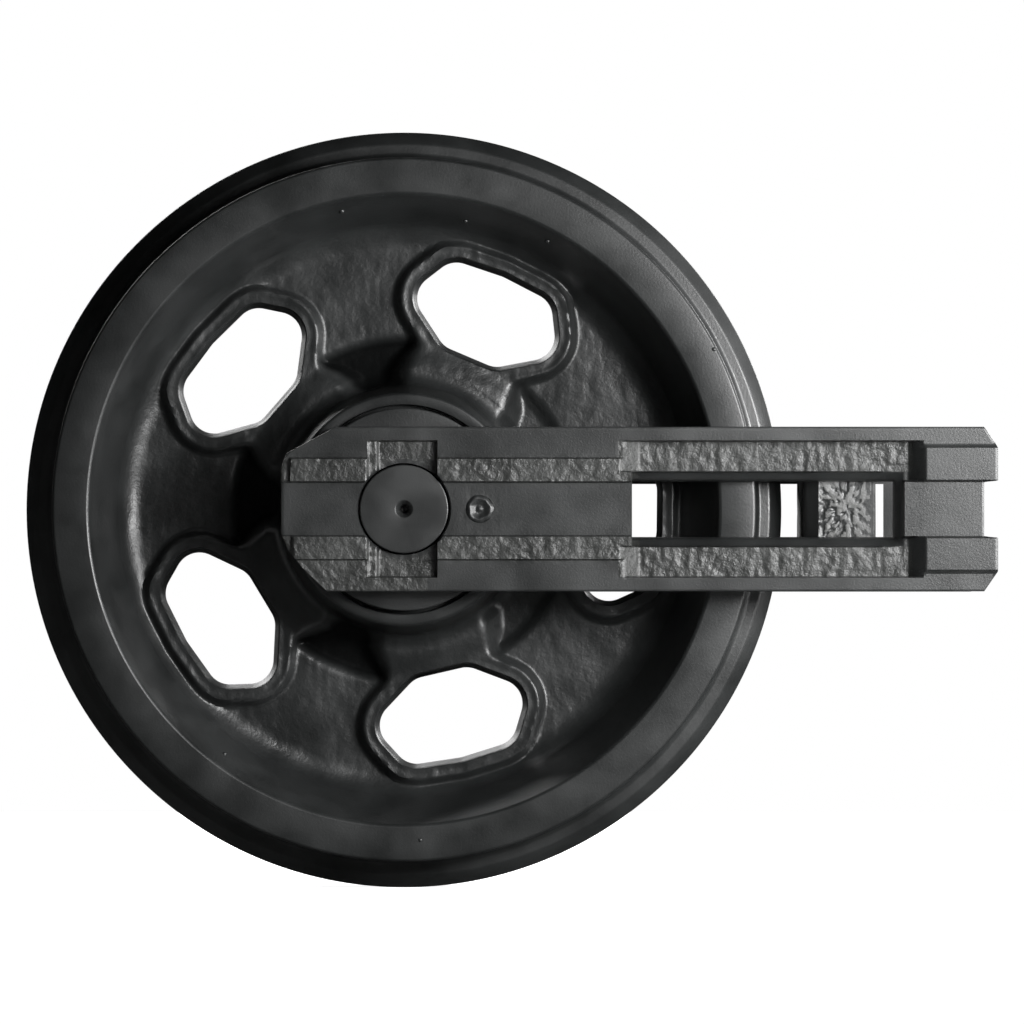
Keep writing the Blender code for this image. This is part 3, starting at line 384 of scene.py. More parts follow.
def cast_paint(name, colour, roughness, grain, relief):
    """Black paint over cast steel: grey that drifts in patches, satin sheen, and a sandy grain.

    Two sizes of noise on the piece's own coordinates tint the colour and the sheen, and a
    finer one gives the grain its bump.
    """
    material, nodes, links, shader = new_material(name)
    place = nodes.new("ShaderNodeTexCoord")
    drift = nodes.new("ShaderNodeTexNoise")
    drift.inputs["Scale"].default_value = 28.0
    drift.inputs["Detail"].default_value = 5.0
    fine = nodes.new("ShaderNodeTexNoise")
    fine.inputs["Scale"].default_value = grain
    fine.inputs["Detail"].default_value = 4.0
    fine.inputs["Roughness"].default_value = 0.6
    tint = nodes.new("ShaderNodeValToRGB")
    tint.color_ramp.elements[0].position = 0.3
    tint.color_ramp.elements[0].color = (*[0.7 * part for part in colour], 1.0)
    tint.color_ramp.elements[1].position = 0.7
    tint.color_ramp.elements[1].color = (*[1.25 * part for part in colour], 1.0)
    sheen = nodes.new("ShaderNodeMapRange")
    sheen.inputs["From Min"].default_value = 0.3
    sheen.inputs["From Max"].default_value = 0.7
    sheen.inputs["To Min"].default_value = roughness - 0.07
    sheen.inputs["To Max"].default_value = roughness + 0.08
    bump = nodes.new("ShaderNodeBump")
    bump.inputs["Strength"].default_value = 1.0
    bump.inputs["Distance"].default_value = relief
    links.new(place.outputs["Object"], drift.inputs["Vector"])
    links.new(place.outputs["Object"], fine.inputs["Vector"])
    links.new(drift.outputs["Fac"], tint.inputs["Fac"])
    links.new(tint.outputs["Color"], shader.inputs["Base Color"])
    links.new(drift.outputs["Fac"], sheen.inputs["Value"])
    links.new(sheen.outputs["Result"], shader.inputs["Roughness"])
    links.new(fine.outputs["Fac"], bump.inputs["Height"])
    links.new(bump.outputs["Normal"], shader.inputs["Normal"])
    shader.inputs["Specular IOR Level"].default_value = 0.55
    return material


def face_middles(piece):
    """The middles of a piece's faces, one row of three to a face."""
    middles = np.empty(3 * len(piece.data.polygons))
    piece.data.polygons.foreach_get("center", middles)
    return middles.reshape(-1, 3)


def other_finish(piece, material, chosen):
    """Gives the chosen faces another material than the rest of the piece."""
    index = np.zeros(len(piece.data.polygons), dtype=np.int32)
    piece.data.polygons.foreach_get("material_index", index)
    piece.data.materials.append(material)
    index[chosen] = len(piece.data.materials) - 1
    piece.data.polygons.foreach_set("material_index", index)
    piece.data.update()


wheel_paint = cast_paint("black_paint_on_the_wheel", (0.014, 0.015, 0.015), 0.37, 520.0, 0.00012)
# The web's paint also carries painted shade in the pits by the hub, added below.
sand_paint_and_pit_shade = cast_paint("black_paint_on_sand_cast_skin_and_painted_pit_shade", (0.014, 0.015, 0.015), 0.37, 300.0, 0.0003)


def paint_pit_shade(material):
    """Paints shade into low places by the hub: there the colour goes darker and the specular sheen is taken
    off, as painted shade.

    They follow the greatest of three soft steps: of the height over the middle plane, of
    the radius, and of the distance to the right, so the painted shade lies on the side away from the lamps.
    """
    nodes, links = material.node_tree.nodes, material.node_tree.links
    place = nodes.new("ShaderNodeTexCoord")
    parts = nodes.new("ShaderNodeSeparateXYZ")
    links.new(place.outputs["Object"], parts.inputs[0])
    height = nodes.new("ShaderNodeMath")
    height.operation = "ABSOLUTE"
    links.new(parts.outputs["Y"], height.inputs[0])
    flat = nodes.new("ShaderNodeVectorMath")
    flat.operation = "MULTIPLY"
    flat.inputs[1].default_value = (1.0, 0.0, 1.0)
    reach = nodes.new("ShaderNodeVectorMath")
    reach.operation = "LENGTH"
    links.new(place.outputs["Object"], flat.inputs[0])
    links.new(flat.outputs["Vector"], reach.inputs[0])
    unshaded = None
    for source, low, high in ((height.outputs[0], 0.0120, 0.0215), (reach.outputs["Value"], 0.1225, 0.1310),
                              (parts.outputs["X"], 0.010, 0.050)):
        step = nodes.new("ShaderNodeMapRange")
        step.interpolation_type = "SMOOTHSTEP"
        step.inputs["From Min"].default_value = low
        step.inputs["From Max"].default_value = high
        links.new(source, step.inputs["Value"])
        if unshaded is None:
            unshaded = step.outputs[0]
        else:
            greatest = nodes.new("ShaderNodeMath")
            greatest.operation = "MAXIMUM"
            links.new(unshaded, greatest.inputs[0])
            links.new(step.outputs[0], greatest.inputs[1])
            unshaded = greatest.outputs[0]
    # Painted shade and painted loss of reflection: in the masked places the specular level falls to 0.03 and
    # the colour to a quarter.
    level = nodes.new("ShaderNodeMapRange")
    level.inputs["To Min"].default_value = 0.03
    level.inputs["To Max"].default_value = 0.55
    links.new(unshaded, level.inputs["Value"])
    shader = nodes["Principled BSDF"]
    links.new(level.outputs[0], shader.inputs["Specular IOR Level"])
    shade_scale = nodes.new("ShaderNodeMapRange")
    shade_scale.inputs["To Min"].default_value = 0.25
    links.new(unshaded, shade_scale.inputs["Value"])
    shaded_colour = nodes.new("ShaderNodeVectorMath")
    shaded_colour.operation = "SCALE"
    links.new(shader.inputs["Base Color"].links[0].from_socket, shaded_colour.inputs[0])
    links.new(shade_scale.outputs[0], shaded_colour.inputs["Scale"])
    links.new(shaded_colour.outputs["Vector"], shader.inputs["Base Color"])


# Painted shade: the web's pits by the hub, on the left, are darkened and lose their specular sheen.
paint_pit_shade(sand_paint_and_pit_shade)

sectors = WHEEL_HOLE_TURN + WHEEL_PITCH * np.arange(WHEEL_HOLES)[:, None, None]
wheel_points = []
wheel_faces = []
points_before = 0
for side, rings in ((-1, 34), (1, 18)):
    web_r, web_a, web_rise = web_grid(rings)
    web_out = web_height(web_r, web_a)
    fade_rim = ease((WEB_TANGENT_R - web_r) / 0.010)
    flat = round_points(web_r + 0.0 * sectors, side * web_out, sectors - web_a)
    out = side * web_rise * (web_out + fade_rim * cast_skin(flat))
    points = round_points(web_r + 0.0 * sectors, out, sectors - web_a)
    for sector in points:
        wheel_points.append(sector.reshape(-1, 3))
        wheel_faces.append(points_before + joined(sector.shape[0], sector.shape[1], True))
        points_before += sector.shape[0] * sector.shape[1]


def rounded(corners, radius, steps):
    """An open run of (radius, out) corners with each inner corner rounded by an arc of points.

    Each corner gives way to a curve between the points where a fillet of that radius, or of
    a third of the shorter side, would leave the sides.
    """
    rows = [corners[0]]
    share = np.linspace(0.0, 1.0, steps)[:, None]
    for before, at, after in zip(corners[:-2], corners[1:-1], corners[2:]):
        before, at, after = map(np.array, (before, at, after))
        back, on = before - at, after - at
        reach = min(radius, np.hypot(*back) / 3.0, np.hypot(*on) / 3.0)
        start = at + reach * back / np.hypot(*back)
        end = at + reach * on / np.hypot(*on)
        rows.extend((1 - share) ** 2 * start + 2 * share * (1 - share) * at + share ** 2 * end)
    rows.append(corners[-1])
    return np.array(rows, float)


steps_round = WHEEL_HOLES * WHEEL_STEPS_PER_HOLE
start_turn = WHEEL_HOLE_TURN - 0.5 * WHEEL_PITCH
turns = start_turn + 2.0 * math.pi * np.arange(steps_round) / steps_round
rim_run = rounded([(WEB_TANGENT_R, WEB_TANGENT_OUT),
                   (RIM_INNER_R - EDGE_ROUND * math.tan(RIM_DRAFT), RIM_HALF - EDGE_ROUND),
                   (RIM_INNER_R + 0.0012, RIM_HALF), (TREAD_R - EDGE_ROUND, RIM_HALF),
                   (TREAD_R, RIM_HALF - EDGE_ROUND), (TREAD_R, FLANGE_ROOT_HALF + 0.0036),
                   (TREAD_R + 0.0036, FLANGE_ROOT_HALF), (FLANGE_R - 0.009, FLANGE_ROOT_HALF),
                   (FLANGE_R, FLANGE_TIP_HALF), (FLANGE_R, 0.020)], 0.0012, 3)
wall_rows = np.linspace(rim_run[0], rim_run[1], 9)[:-1]
rim_run = np.concatenate([wall_rows, rim_run[1:]])
for side in (-1, 1):
    grid_r = rim_run[:, 0][:, None] + 0.0 * turns
    grid_out = rim_run[:, 1][:, None] + 0.0 * turns
    flat = round_points(grid_r, side * grid_out, turns + 0.0 * grid_r)
    cast = ease((RIM_INNER_R - 0.0015 - grid_r) / 0.004) * ease((grid_r - WEB_TANGENT_R) / 0.006)
    grid_r = grid_r + cast * 0.0005 * lumps(flat, 0.016, 5)
    points = round_points(grid_r, side * grid_out, turns + 0.0 * grid_r)
    wheel_points.append(points.reshape(-1, 3))
    wheel_faces.append(points_before + joined(points.shape[0], points.shape[1], True))
    points_before += points.shape[0] * points.shape[1]
crest = round_points(np.full((2, steps_round), FLANGE_R), np.array([[-0.020], [0.020]]),
                     turns + np.zeros((2, 1)))
wheel_points.append(crest.reshape(-1, 3))
wheel_faces.append(points_before + joined(2, steps_round, True))
points_before += 2 * steps_round

hub_run = rounded([(0.0920, 0.0400), (HUB_OUTER_R, HUB_HALF - 0.0015), (HUB_OUTER_R - 0.0015, HUB_HALF),
                   (HUB_MOUTH_R, HUB_HALF), (HUB_MOUTH_R, HUB_MOUTH_FLOOR),
                   (SEAL_POCKET_R, HUB_MOUTH_FLOOR), (SEAL_POCKET_R, SEAL_POCKET_FLOOR),
                   (BUSH_SEAT_R, SEAL_POCKET_FLOOR), (BUSH_SEAT_R, OIL_ROOM_HALF),
                   (OIL_ROOM_R, OIL_ROOM_HALF), (OIL_ROOM_R, 0.5 * OIL_ROOM_HALF)], 0.0012, 3)
bend = 0.5 * math.pi * np.linspace(0.0, 1.0, 9)[:, None]
for side in (-1, 1):
    angle = (turns - start_turn) % WHEEL_PITCH - 0.5 * WHEEL_PITCH
    foot = web_height(np.full(steps_round, WEB_INNER_R), -angle)
    flat = round_points(np.full(steps_round, WEB_INNER_R), side * foot, turns)
    foot = foot + cast_skin(flat)
    fillet_r = WEB_INNER_R - HUB_FILLET * np.sin(bend) + 0.0 * foot
    fillet_out = foot + HUB_FILLET * (1.0 - np.cos(bend))
    grid_r = np.concatenate([fillet_r, hub_run[1:, 0][:, None] + 0.0 * turns])
    grid_out = np.concatenate([fillet_out, hub_run[1:, 1][:, None] + 0.0 * turns])
    points = round_points(grid_r, side * grid_out, turns + 0.0 * grid_r)
    wheel_points.append(points.reshape(-1, 3))
    wheel_faces.append(points_before + joined(points.shape[0], points.shape[1], True))
    points_before += points.shape[0] * points.shape[1]
bore = round_points(np.full((2, steps_round), OIL_ROOM_R), 0.5 * OIL_ROOM_HALF * np.array([[-1.0], [1.0]]),
                    turns + np.zeros((2, 1)))
wheel_points.append(bore.reshape(-1, 3))
wheel_faces.append(points_before + joined(2, steps_round, True))
wheel = new_piece("wheel_casting", np.concatenate(wheel_points), np.concatenate(wheel_faces), wheel_paint,
                  "wheel", ("idler_wheel",), "wheel_paint")
middles = face_middles(wheel)
web_reach = np.hypot(middles[:, 0], middles[:, 2])
# The web takes the paint with the painted pit shade.
other_finish(wheel, sand_paint_and_pit_shade, (web_reach > 0.0925) & (web_reach < WEB_TANGENT_R - 0.004)
             & (np.abs(middles[:, 1]) < 0.0385))

# Pimples on the casting, where sand broke out of the mould: low rounded drops under the paint.
# Each is a flattened ball sunk to its middle in the rim's wall or face.
PIMPLES = [(-0.0462, 0.0589, 0.2209, 0.0021), (0.0455, 0.0426, 0.2143, 0.0019),
           (0.1061, 0.0580, 0.1988, 0.0022), (0.2288, 0.0768, 0.1182, 0.0016),
           (-0.1330, 0.0560, -0.1810, 0.0018), (0.0120, 0.0768, -0.2440, 0.0014)]


def ball(x, y, z, radius, rings, steps):
    """Points and faces of a ball: rows of equal latitude, each drawn out by its cosine."""
    tilt = np.linspace(-0.5 * math.pi, 0.5 * math.pi, rings)[:, None]
    turn = 2.0 * math.pi * np.arange(steps) / steps
    points = np.stack([x + radius * np.cos(tilt) * np.cos(turn), y + 0.7 * radius * np.sin(tilt) + 0.0 * turn,
                       z + radius * np.cos(tilt) * np.sin(turn)], axis=-1)
    return points.reshape(-1, 3), joined(rings, steps, True)


def gathered(parts):
    """One array of points and one of faces from several pairs, with the corner numbers moved on."""
    moved = np.cumsum([0] + [len(points) for points, _ in parts[:-1]])
    return (np.concatenate([points for points, _ in parts]),
            np.concatenate([faces + start for (_, faces), start in zip(parts, moved)]))


drops = [ball(x, side * out, z, size, 9, 16) for side in (-1, 1) for x, out, z, size in PIMPLES]
new_piece("cast_pimples", *gathered(drops), wheel_paint, "wheel", (), "wheel_paint", 80.0)


# Guide arms. Two steel castings, each with a boss that fits in the hub's mouth, ribs left as cast,
# machined ledges and channel, and a long window. They carry the shaft and slide in the track frame.
ARM_INNER = 0.082
ARM_HALF_H = 0.0605
ARM_NOSE_X = -0.0905
ARM_TAIL_X = 0.4365
ARM_THICK = 0.036
LEDGE = 0.032
RIB = 0.0353
RIB_HALF_H = 0.0373
CHANNEL = 0.030
CHANNEL_HALF = 0.0198
SLOT = 0.026
SLOT_HALF = 0.050
SLOT_END_X = 0.024
SLOT_STEPS_X = [-0.0275, -0.0258, -0.0202, -0.0185]
SLOT_STEPS = [RIB, 0.0305, 0.0305, SLOT]
STRIP = 0.018
STRIP_INNER = 0.0275
THROAT = 0.010
WINDOW_HALF = 0.021
WINDOW_X = (0.1675, 0.361)
RAMP_X = (0.158, 0.173, 0.3715, 0.384)
MOUTH_END_X = 0.3675
NOSE_Z = [-ARM_HALF_H, -0.043, -0.030, -0.018, 0.030, 0.041, ARM_HALF_H]
NOSE_X = [-0.057, -0.0755, -0.0855, ARM_NOSE_X, ARM_NOSE_X, -0.0865, -0.050]
BEND_X = (-0.030, 0.400)
PLUG_X = 0.0555


def arm_level(x, z):
    """Height of the arm's outer side above its inner face, with every edge left square.

    The ledge is the ground level. Ribs stand over it, the channel, the slot and the tail's
    recess lie under it, two strips are sunk on ramps, and the window flares down to its throat.
    """
    high = np.abs(z)
    level = np.full(x.shape, LEDGE)
    rib_start = np.where(z > 0.0, -0.084, -0.082)
    level[(high > CHANNEL_HALF) & (high < RIB_HALF_H) & (x > rib_start) & (x < RAMP_X[1])] = RIB
    level[(high > 0.0205) & (high < 0.046) & (x > 0.3685)] = ARM_THICK
    level[(high < CHANNEL_HALF) & (x < WINDOW_X[0])] = CHANNEL
    level[(high < 0.0205) & (x > MOUTH_END_X)] = CHANNEL
    slot = (high < SLOT_HALF) & (x > SLOT_STEPS_X[0]) & (x < SLOT_END_X)
    level = np.where(slot, np.minimum(level, np.interp(x, SLOT_STEPS_X, SLOT_STEPS)), level)
    floor = STRIP + 1.2 * np.clip(RAMP_X[1] - x, 0.0, None) + 1.5 * np.clip(x - RAMP_X[2], 0.0, None)
    beside_window = (high > STRIP_INNER) & (x > RAMP_X[0])
    strip = (high < SLOT_HALF) & (beside_window | ((high > 0.0205) & (x > 0.352)))
    level = np.where(strip, np.minimum(level, floor), level)
    flare = THROAT + 1.23 * np.maximum(high - WINDOW_HALF, x - WINDOW_X[1])
    mouth = (high < STRIP_INNER) & (x > WINDOW_X[0]) & (x < MOUTH_END_X)
    level = np.where(mouth, np.minimum(level, np.clip(flare, THROAT, STRIP)), level)
    level[(high < WINDOW_HALF) & (x > WINDOW_X[0]) & (x < WINDOW_X[1])] = 0.0
    return level


def softened(x, z, reach):
    """The arm's level with its edges rounded: the mean of the square level over a small patch."""
    total = np.zeros(x.shape)
    for step_x in (-1.0, -0.5, 0.0, 0.5, 1.0):
        for step_z in (-1.0, -0.5, 0.0, 0.5, 1.0):
            total += arm_level(x + reach * step_x, z + reach * step_z)
    return total / 25.0


GRID_GAP = 0.0006


def grid_lines(start, end, edges, zones):
    """Lines of a grid: close ones beside each edge, and evenly stepped ones in each zone between."""
    edges = np.array(edges)
    close = (edges[:, None] + GRID_GAP * np.array([-1.0, 0.0, 1.0])).ravel()
    steady = np.concatenate([np.arange(low, high, step) for low, high, step in zones])
    steady = steady[np.min(np.abs(steady[:, None] - close), axis=1) > GRID_GAP]
    lines = np.unique(np.round(np.concatenate([close, steady, [start, end]]), 6))
    lines = lines[(lines >= start) & (lines <= end)]
    keep = np.concatenate([[True], np.diff(lines) > 0.0003])
    keep[-1] = True
    return lines[keep]


def arm_roughness(x, z):
    """How rough the casting is left, from 0 on the machined faces to 1 on ribs, strips and nose."""
    high = np.abs(z)
    rib = ease((high - 0.0193) / 0.001) * ease((0.0385 - high) / 0.0012) * ease((0.176 - x) / 0.004)
    strip = (ease((x - 0.156) / 0.003) * ease((0.3755 - x) / 0.003)
             * ease((high - 0.0270) / 0.001) * ease((0.0505 - high) / 0.001))
    slot = ease((x + 0.027) / 0.002) * ease((0.025 - x) / 0.002) * ease((0.051 - high) / 0.001)
    nose = ease((0.030 - x) / 0.030) * ease((-0.036 - z) / 0.003)
    struck = 0.42 * ease((0.021 - np.hypot(x - PLUG_X, z)) / 0.008)
    return np.maximum.reduce([rib, strip, 0.8 * slot, 1.2 * nose, struck])


def arm_surface(side, seed):
    """Points and faces of one arm's closed skin.

    Outer and inner side share one grid over the arm's outline, bent at its ends to the nose
    and the notched tail. Rows at its border drop to the inner side, and cells in the window's
    throat are left out, so that the two sides meet round its wall. The level is softened over
    a little less than the grid's close gap, so that it is nought on the lines in the throat.
    """
    x_lines = grid_lines(ARM_NOSE_X, ARM_TAIL_X,
                         [-0.084, *SLOT_STEPS_X, SLOT_END_X, *RAMP_X, *WINDOW_X, MOUTH_END_X],
                         [(ARM_NOSE_X, 0.176, 0.0014), (0.176, 0.374, 0.0015), (0.374, ARM_TAIL_X, 0.004)])
    z_edges = np.array([CHANNEL_HALF, WINDOW_HALF, STRIP_INNER, RIB_HALF_H, SLOT_HALF])
    z_lines = grid_lines(-ARM_HALF_H, ARM_HALF_H, [*-z_edges, *z_edges],
                         [(-ARM_HALF_H, -0.0385, 0.0016), (-0.0385, -0.0185, 0.0014), (-0.018, 0.019, 0.0030),
                          (0.0185, 0.0385, 0.0014), (0.0385, 0.0520, 0.0016), (0.0520, ARM_HALF_H, 0.0028)])
    corner = np.array([0.0, 0.0, 0.0, 0.00035, 0.0011])
    inner = x_lines[(x_lines > ARM_NOSE_X + 0.0015) & (x_lines < ARM_TAIL_X - 0.0015)]
    x_lines = np.concatenate([ARM_NOSE_X + corner, inner, (ARM_TAIL_X - corner)[::-1]])
    inner = z_lines[np.abs(z_lines) < ARM_HALF_H - 0.0015]
    z_lines = np.concatenate([-ARM_HALF_H + corner, inner, (ARM_HALF_H - corner)[::-1]])
    share_lines = [0.0, 0.5, 1.0, 1.0, 1.0]
    drop_lines = [0.0, 0.0, 0.0011, 0.00035, 0.0]
    share_x = np.ones(x_lines.size)
    share_z = np.ones(z_lines.size)
    drop_x = np.zeros(x_lines.size)
    drop_z = np.zeros(z_lines.size)
    share_x[:5], share_x[-5:] = share_lines, share_lines[::-1]
    share_z[:5], share_z[-5:] = share_lines, share_lines[::-1]
    drop_x[:5], drop_x[-5:] = drop_lines, drop_lines[::-1]
    drop_z[:5], drop_z[-5:] = drop_lines, drop_lines[::-1]
    plan_x, z = np.meshgrid(x_lines, z_lines, indexing="ij")
    nose = np.interp(z, NOSE_Z, NOSE_X)
    high = np.abs(z)
    tail = ARM_TAIL_X - 0.010 * ease((0.0211 - high) / 0.0012) - 0.69 * np.clip(high - 0.046, 0.0, None)
    front, back = BEND_X
    front_share = (plan_x - ARM_NOSE_X) / (front - ARM_NOSE_X)
    back_share = (plan_x - back) / (ARM_TAIL_X - back)
    x = np.where(plan_x < front, nose + front_share * (front - nose), plan_x)
    x = np.where(plan_x > back, back + back_share * (tail - back), x)
    level = softened(x, z, GRID_GAP - 0.00002)
    spot = np.stack([x, side * level, z], axis=-1)
    rough = arm_roughness(x, z)
    cast = 0.00042 * lumps(spot, 0.0060, seed) + 0.00030 * lumps(spot, 0.0027, seed + 1)
    streaks = 0.00040 * lumps(spot * np.array([1.0, 1.0, 0.24]), 0.0030, seed + 2)
    smooth = 0.00012 * lumps(spot, 0.020, seed + 3)
    rough_level = level + rough * (cast + streaks * (x > 0.170)) + (1.0 - rough) * smooth
    solid = level > 0.0012
    outer = np.where(solid, np.minimum(rough_level, ARM_THICK), level)
    share = np.minimum(share_x[:, None], share_z[None, :])
    drop = np.maximum(drop_x[:, None], drop_z[None, :])
    outer = np.clip(outer * share - drop, 0.0, None) * (share > 0.0)
    points = np.concatenate([np.stack([x, side * (ARM_INNER + outer), z], axis=-1).reshape(-1, 3),
                             np.stack([x, side * (ARM_INNER + 0.0 * x), z], axis=-1).reshape(-1, 3)])
    faces = joined(x_lines.size, z_lines.size, False)
    rim = GRID_GAP - 0.00005
    open_cell = ((np.abs(z) < WINDOW_HALF - rim)
                 & (x > WINDOW_X[0] + rim) & (x < WINDOW_X[1] - rim)).ravel()
    faces = faces[~np.all(open_cell[faces], axis=1)]
    return points, np.concatenate([faces, faces[:, ::-1] + x.size])


def turned_points(run, side, steps):
    """Points and faces of a closed (radius, out) run turned about the wheel's axis."""
    turn = 2.0 * math.pi * np.arange(steps) / steps
    grid_r = run[:, 0][:, None] + 0.0 * turn
    points = round_points(grid_r, side * (run[:, 1][:, None] + 0.0 * turn), turn + 0.0 * grid_r)
    faces = joined(run.shape[0] + 1, steps, True)
    return points.reshape(-1, 3), np.where(faces >= run.shape[0] * steps,
                                           faces - run.shape[0] * steps, faces)


def loose_mesh(name, points, faces):
    """A merged mesh object in no one's charge, to cut another with."""
    mesh = bpy.data.meshes.new(name)
    mesh.from_pydata(points.reshape(-1, 3).tolist(), [], faces.tolist())
    shape = bmesh.new()
    shape.from_mesh(mesh)
    bmesh.ops.remove_doubles(shape, verts=shape.verts, dist=0.000002)
    bmesh.ops.recalc_face_normals(shape, faces=shape.faces)
    shape.to_mesh(mesh)
    shape.free()
    tool = bpy.data.objects.new(name, mesh)
    bpy.context.scene.collection.objects.link(tool)
    return tool


def cut_and_joined(piece, tools):
    """The piece's mesh after each (tool, operation), with the tools taken away again."""
    for tool, operation in tools:
        change = piece.modifiers.new(tool.name, "BOOLEAN")
        change.operation = operation
        change.object = tool
        change.solver = "MANIFOLD"
    view = bpy.context.evaluated_depsgraph_get()
    made = bpy.data.meshes.new_from_object(piece.evaluated_get(view), depsgraph=view)
    piece.modifiers.clear()
    piece.data = made
    for tool, _ in tools:
        bpy.data.objects.remove(tool)
    made.shade_smooth()
    made.set_sharp_from_angle(angle=math.radians(38.0))


def upright_rod(x, y, low_z, high_z, radius, steps):
    """Points and faces of a closed round bar standing along Z, its ends drawn to their middles."""
    turn = 2.0 * math.pi * np.arange(steps) / steps
    scale = np.array([0.0, 1.0, 1.0, 0.0])[:, None]
    height = np.array([low_z, low_z, high_z, high_z])[:, None]
    points = np.stack([x + radius * scale * np.cos(turn), y + radius * scale * np.sin(turn),
                       height + 0.0 * scale * turn], axis=-1)
    return points, joined(4, steps, True)


arm_paint = cast_paint("black_paint_on_the_arms", (0.017, 0.018, 0.018), 0.38, 700.0, 0.00015)
rib_paint = cast_paint("black_paint_on_cast_ribs", (0.024, 0.025, 0.024), 0.40, 300.0, 0.0008)
ARM_BORE_R = 0.0328
BOSS_R = 0.0747
PIN_X = -0.0345
PIN_Y = 0.095
PIN_HOLE_R = 0.0063
boss_run = rounded([(ARM_BORE_R, 0.0569), (0.0470, 0.0569), (0.0470, 0.0800), (SEAL_POCKET_R, 0.0800),
                    (SEAL_POCKET_R, 0.0675), (BOSS_R, 0.0675), (BOSS_R, 0.0850), (ARM_BORE_R, 0.0850)],
                   0.0010, 4)
bore_run = np.array([(0.0, 0.050), (ARM_BORE_R, 0.050), (ARM_BORE_R, 0.088), (0.0337, 0.0885),
                     (0.0338, 0.1108), (0.0350, 0.1123), (0.0350, 0.125), (0.0, 0.125)])
for place, side, seed in (("near", -1, 11), ("far", 1, 31)):
    points, faces = arm_surface(side, seed)
    arm = new_piece(place + "_arm_casting", points, faces, arm_paint, "yoke", (place + "_arm",),
                    "arm_paint", 38.0)
    boss = loose_mesh("boss_tool", *turned_points(boss_run, side, 144))
    bore = loose_mesh("bore_tool", *turned_points(bore_run, side, 144))
    pin_hole = loose_mesh("pin_hole_tool",
                          *upright_rod(PIN_X, side * PIN_Y, -0.0278, 0.0640, PIN_HOLE_R, 40))
    plug_points, plug_faces = turned_points(
        np.array([(0.0, 0.098), (0.0103, 0.098), (0.0103, 0.120), (0.0, 0.120)]), side, 48)
    plug_hole = loose_mesh("plug_hole_tool", plug_points + np.array([PLUG_X, 0.0, 0.0]), plug_faces)
    cut_and_joined(arm, [(boss, "UNION"), (bore, "DIFFERENCE"), (pin_hole, "DIFFERENCE"),
                         (plug_hole, "DIFFERENCE")])
    middles = face_middles(arm)
    rough = arm_roughness(middles[:, 0], middles[:, 2]) > 0.45
    away = np.hypot(middles[:, 0], middles[:, 2]) > 0.0365
    other_finish(arm, rib_paint, rough & away & (side * middles[:, 1] > ARM_INNER + 0.012))


# Shaft. Steel bar turned between centres, painted over with the arms, with an O-ring groove in
# each journal, a notch for each lock pin and an oil drilling from the far end to the middle.
shaft_paint = cast_paint("black_paint_on_the_shaft", (0.018, 0.019, 0.019), 0.38, 900.0, 0.00006)
JOURNAL_R = 0.0325
SHAFT_MID_R = 0.0375
SHAFT_MID_HALF = 0.0566
SHAFT_HALF = 0.113
GROOVE_R = 0.02905
GROOVE_Y = (0.0675, 0.0725)
OIL_HOLE_R = 0.0050
OIL_PLUG_SEAT = (0.0103, 0.0990)
centre_hole = [(0.0, -0.0990), (0.0026, -0.1000), (0.0030, -0.1060), (0.0064, -SHAFT_HALF)]
near_journal = [(JOURNAL_R - 0.0006, -SHAFT_HALF), (JOURNAL_R, 0.0006 - SHAFT_HALF),
                (JOURNAL_R, -GROOVE_Y[1]), (GROOVE_R, -GROOVE_Y[1]), (GROOVE_R, -GROOVE_Y[0]),
                (JOURNAL_R, -GROOVE_Y[0]), (JOURNAL_R, -SHAFT_MID_HALF)]
middle = [(SHAFT_MID_R, -SHAFT_MID_HALF), (SHAFT_MID_R, SHAFT_MID_HALF)]
far_journal = [(JOURNAL_R, SHAFT_MID_HALF), (JOURNAL_R, GROOVE_Y[0]), (GROOVE_R, GROOVE_Y[0]),
               (GROOVE_R, GROOVE_Y[1]), (JOURNAL_R, GROOVE_Y[1]), (JOURNAL_R, SHAFT_HALF - 0.0018),
               (JOURNAL_R - 0.0018, SHAFT_HALF)]
oil_way = [(OIL_PLUG_SEAT[0], SHAFT_HALF), OIL_PLUG_SEAT, (OIL_HOLE_R, OIL_PLUG_SEAT[1]),
           (OIL_HOLE_R, 0.0), (0.0, -OIL_HOLE_R)]
shaft_run = rounded(centre_hole + near_journal + middle + far_journal + oil_way, 0.0005, 4)
shaft = new_piece("turned_shaft", *turned_points(shaft_run, 1, 128), shaft_paint, "yoke", ("shaft",),
                  "shaft_steel", 30.0)
cross_drill = loose_mesh("cross_drill_tool", *upright_rod(0.0, 0.0, 0.0, 0.0420, 0.0040, 32))
shaft_cuts = [(cross_drill, "DIFFERENCE")]
for side in (-1, 1):
    notch = loose_mesh("notch_tool", *upright_rod(PIN_X, side * PIN_Y, -0.0345, 0.0345, PIN_HOLE_R, 40))
    shaft_cuts.append((notch, "DIFFERENCE"))
cut_and_joined(shaft, shaft_cuts)


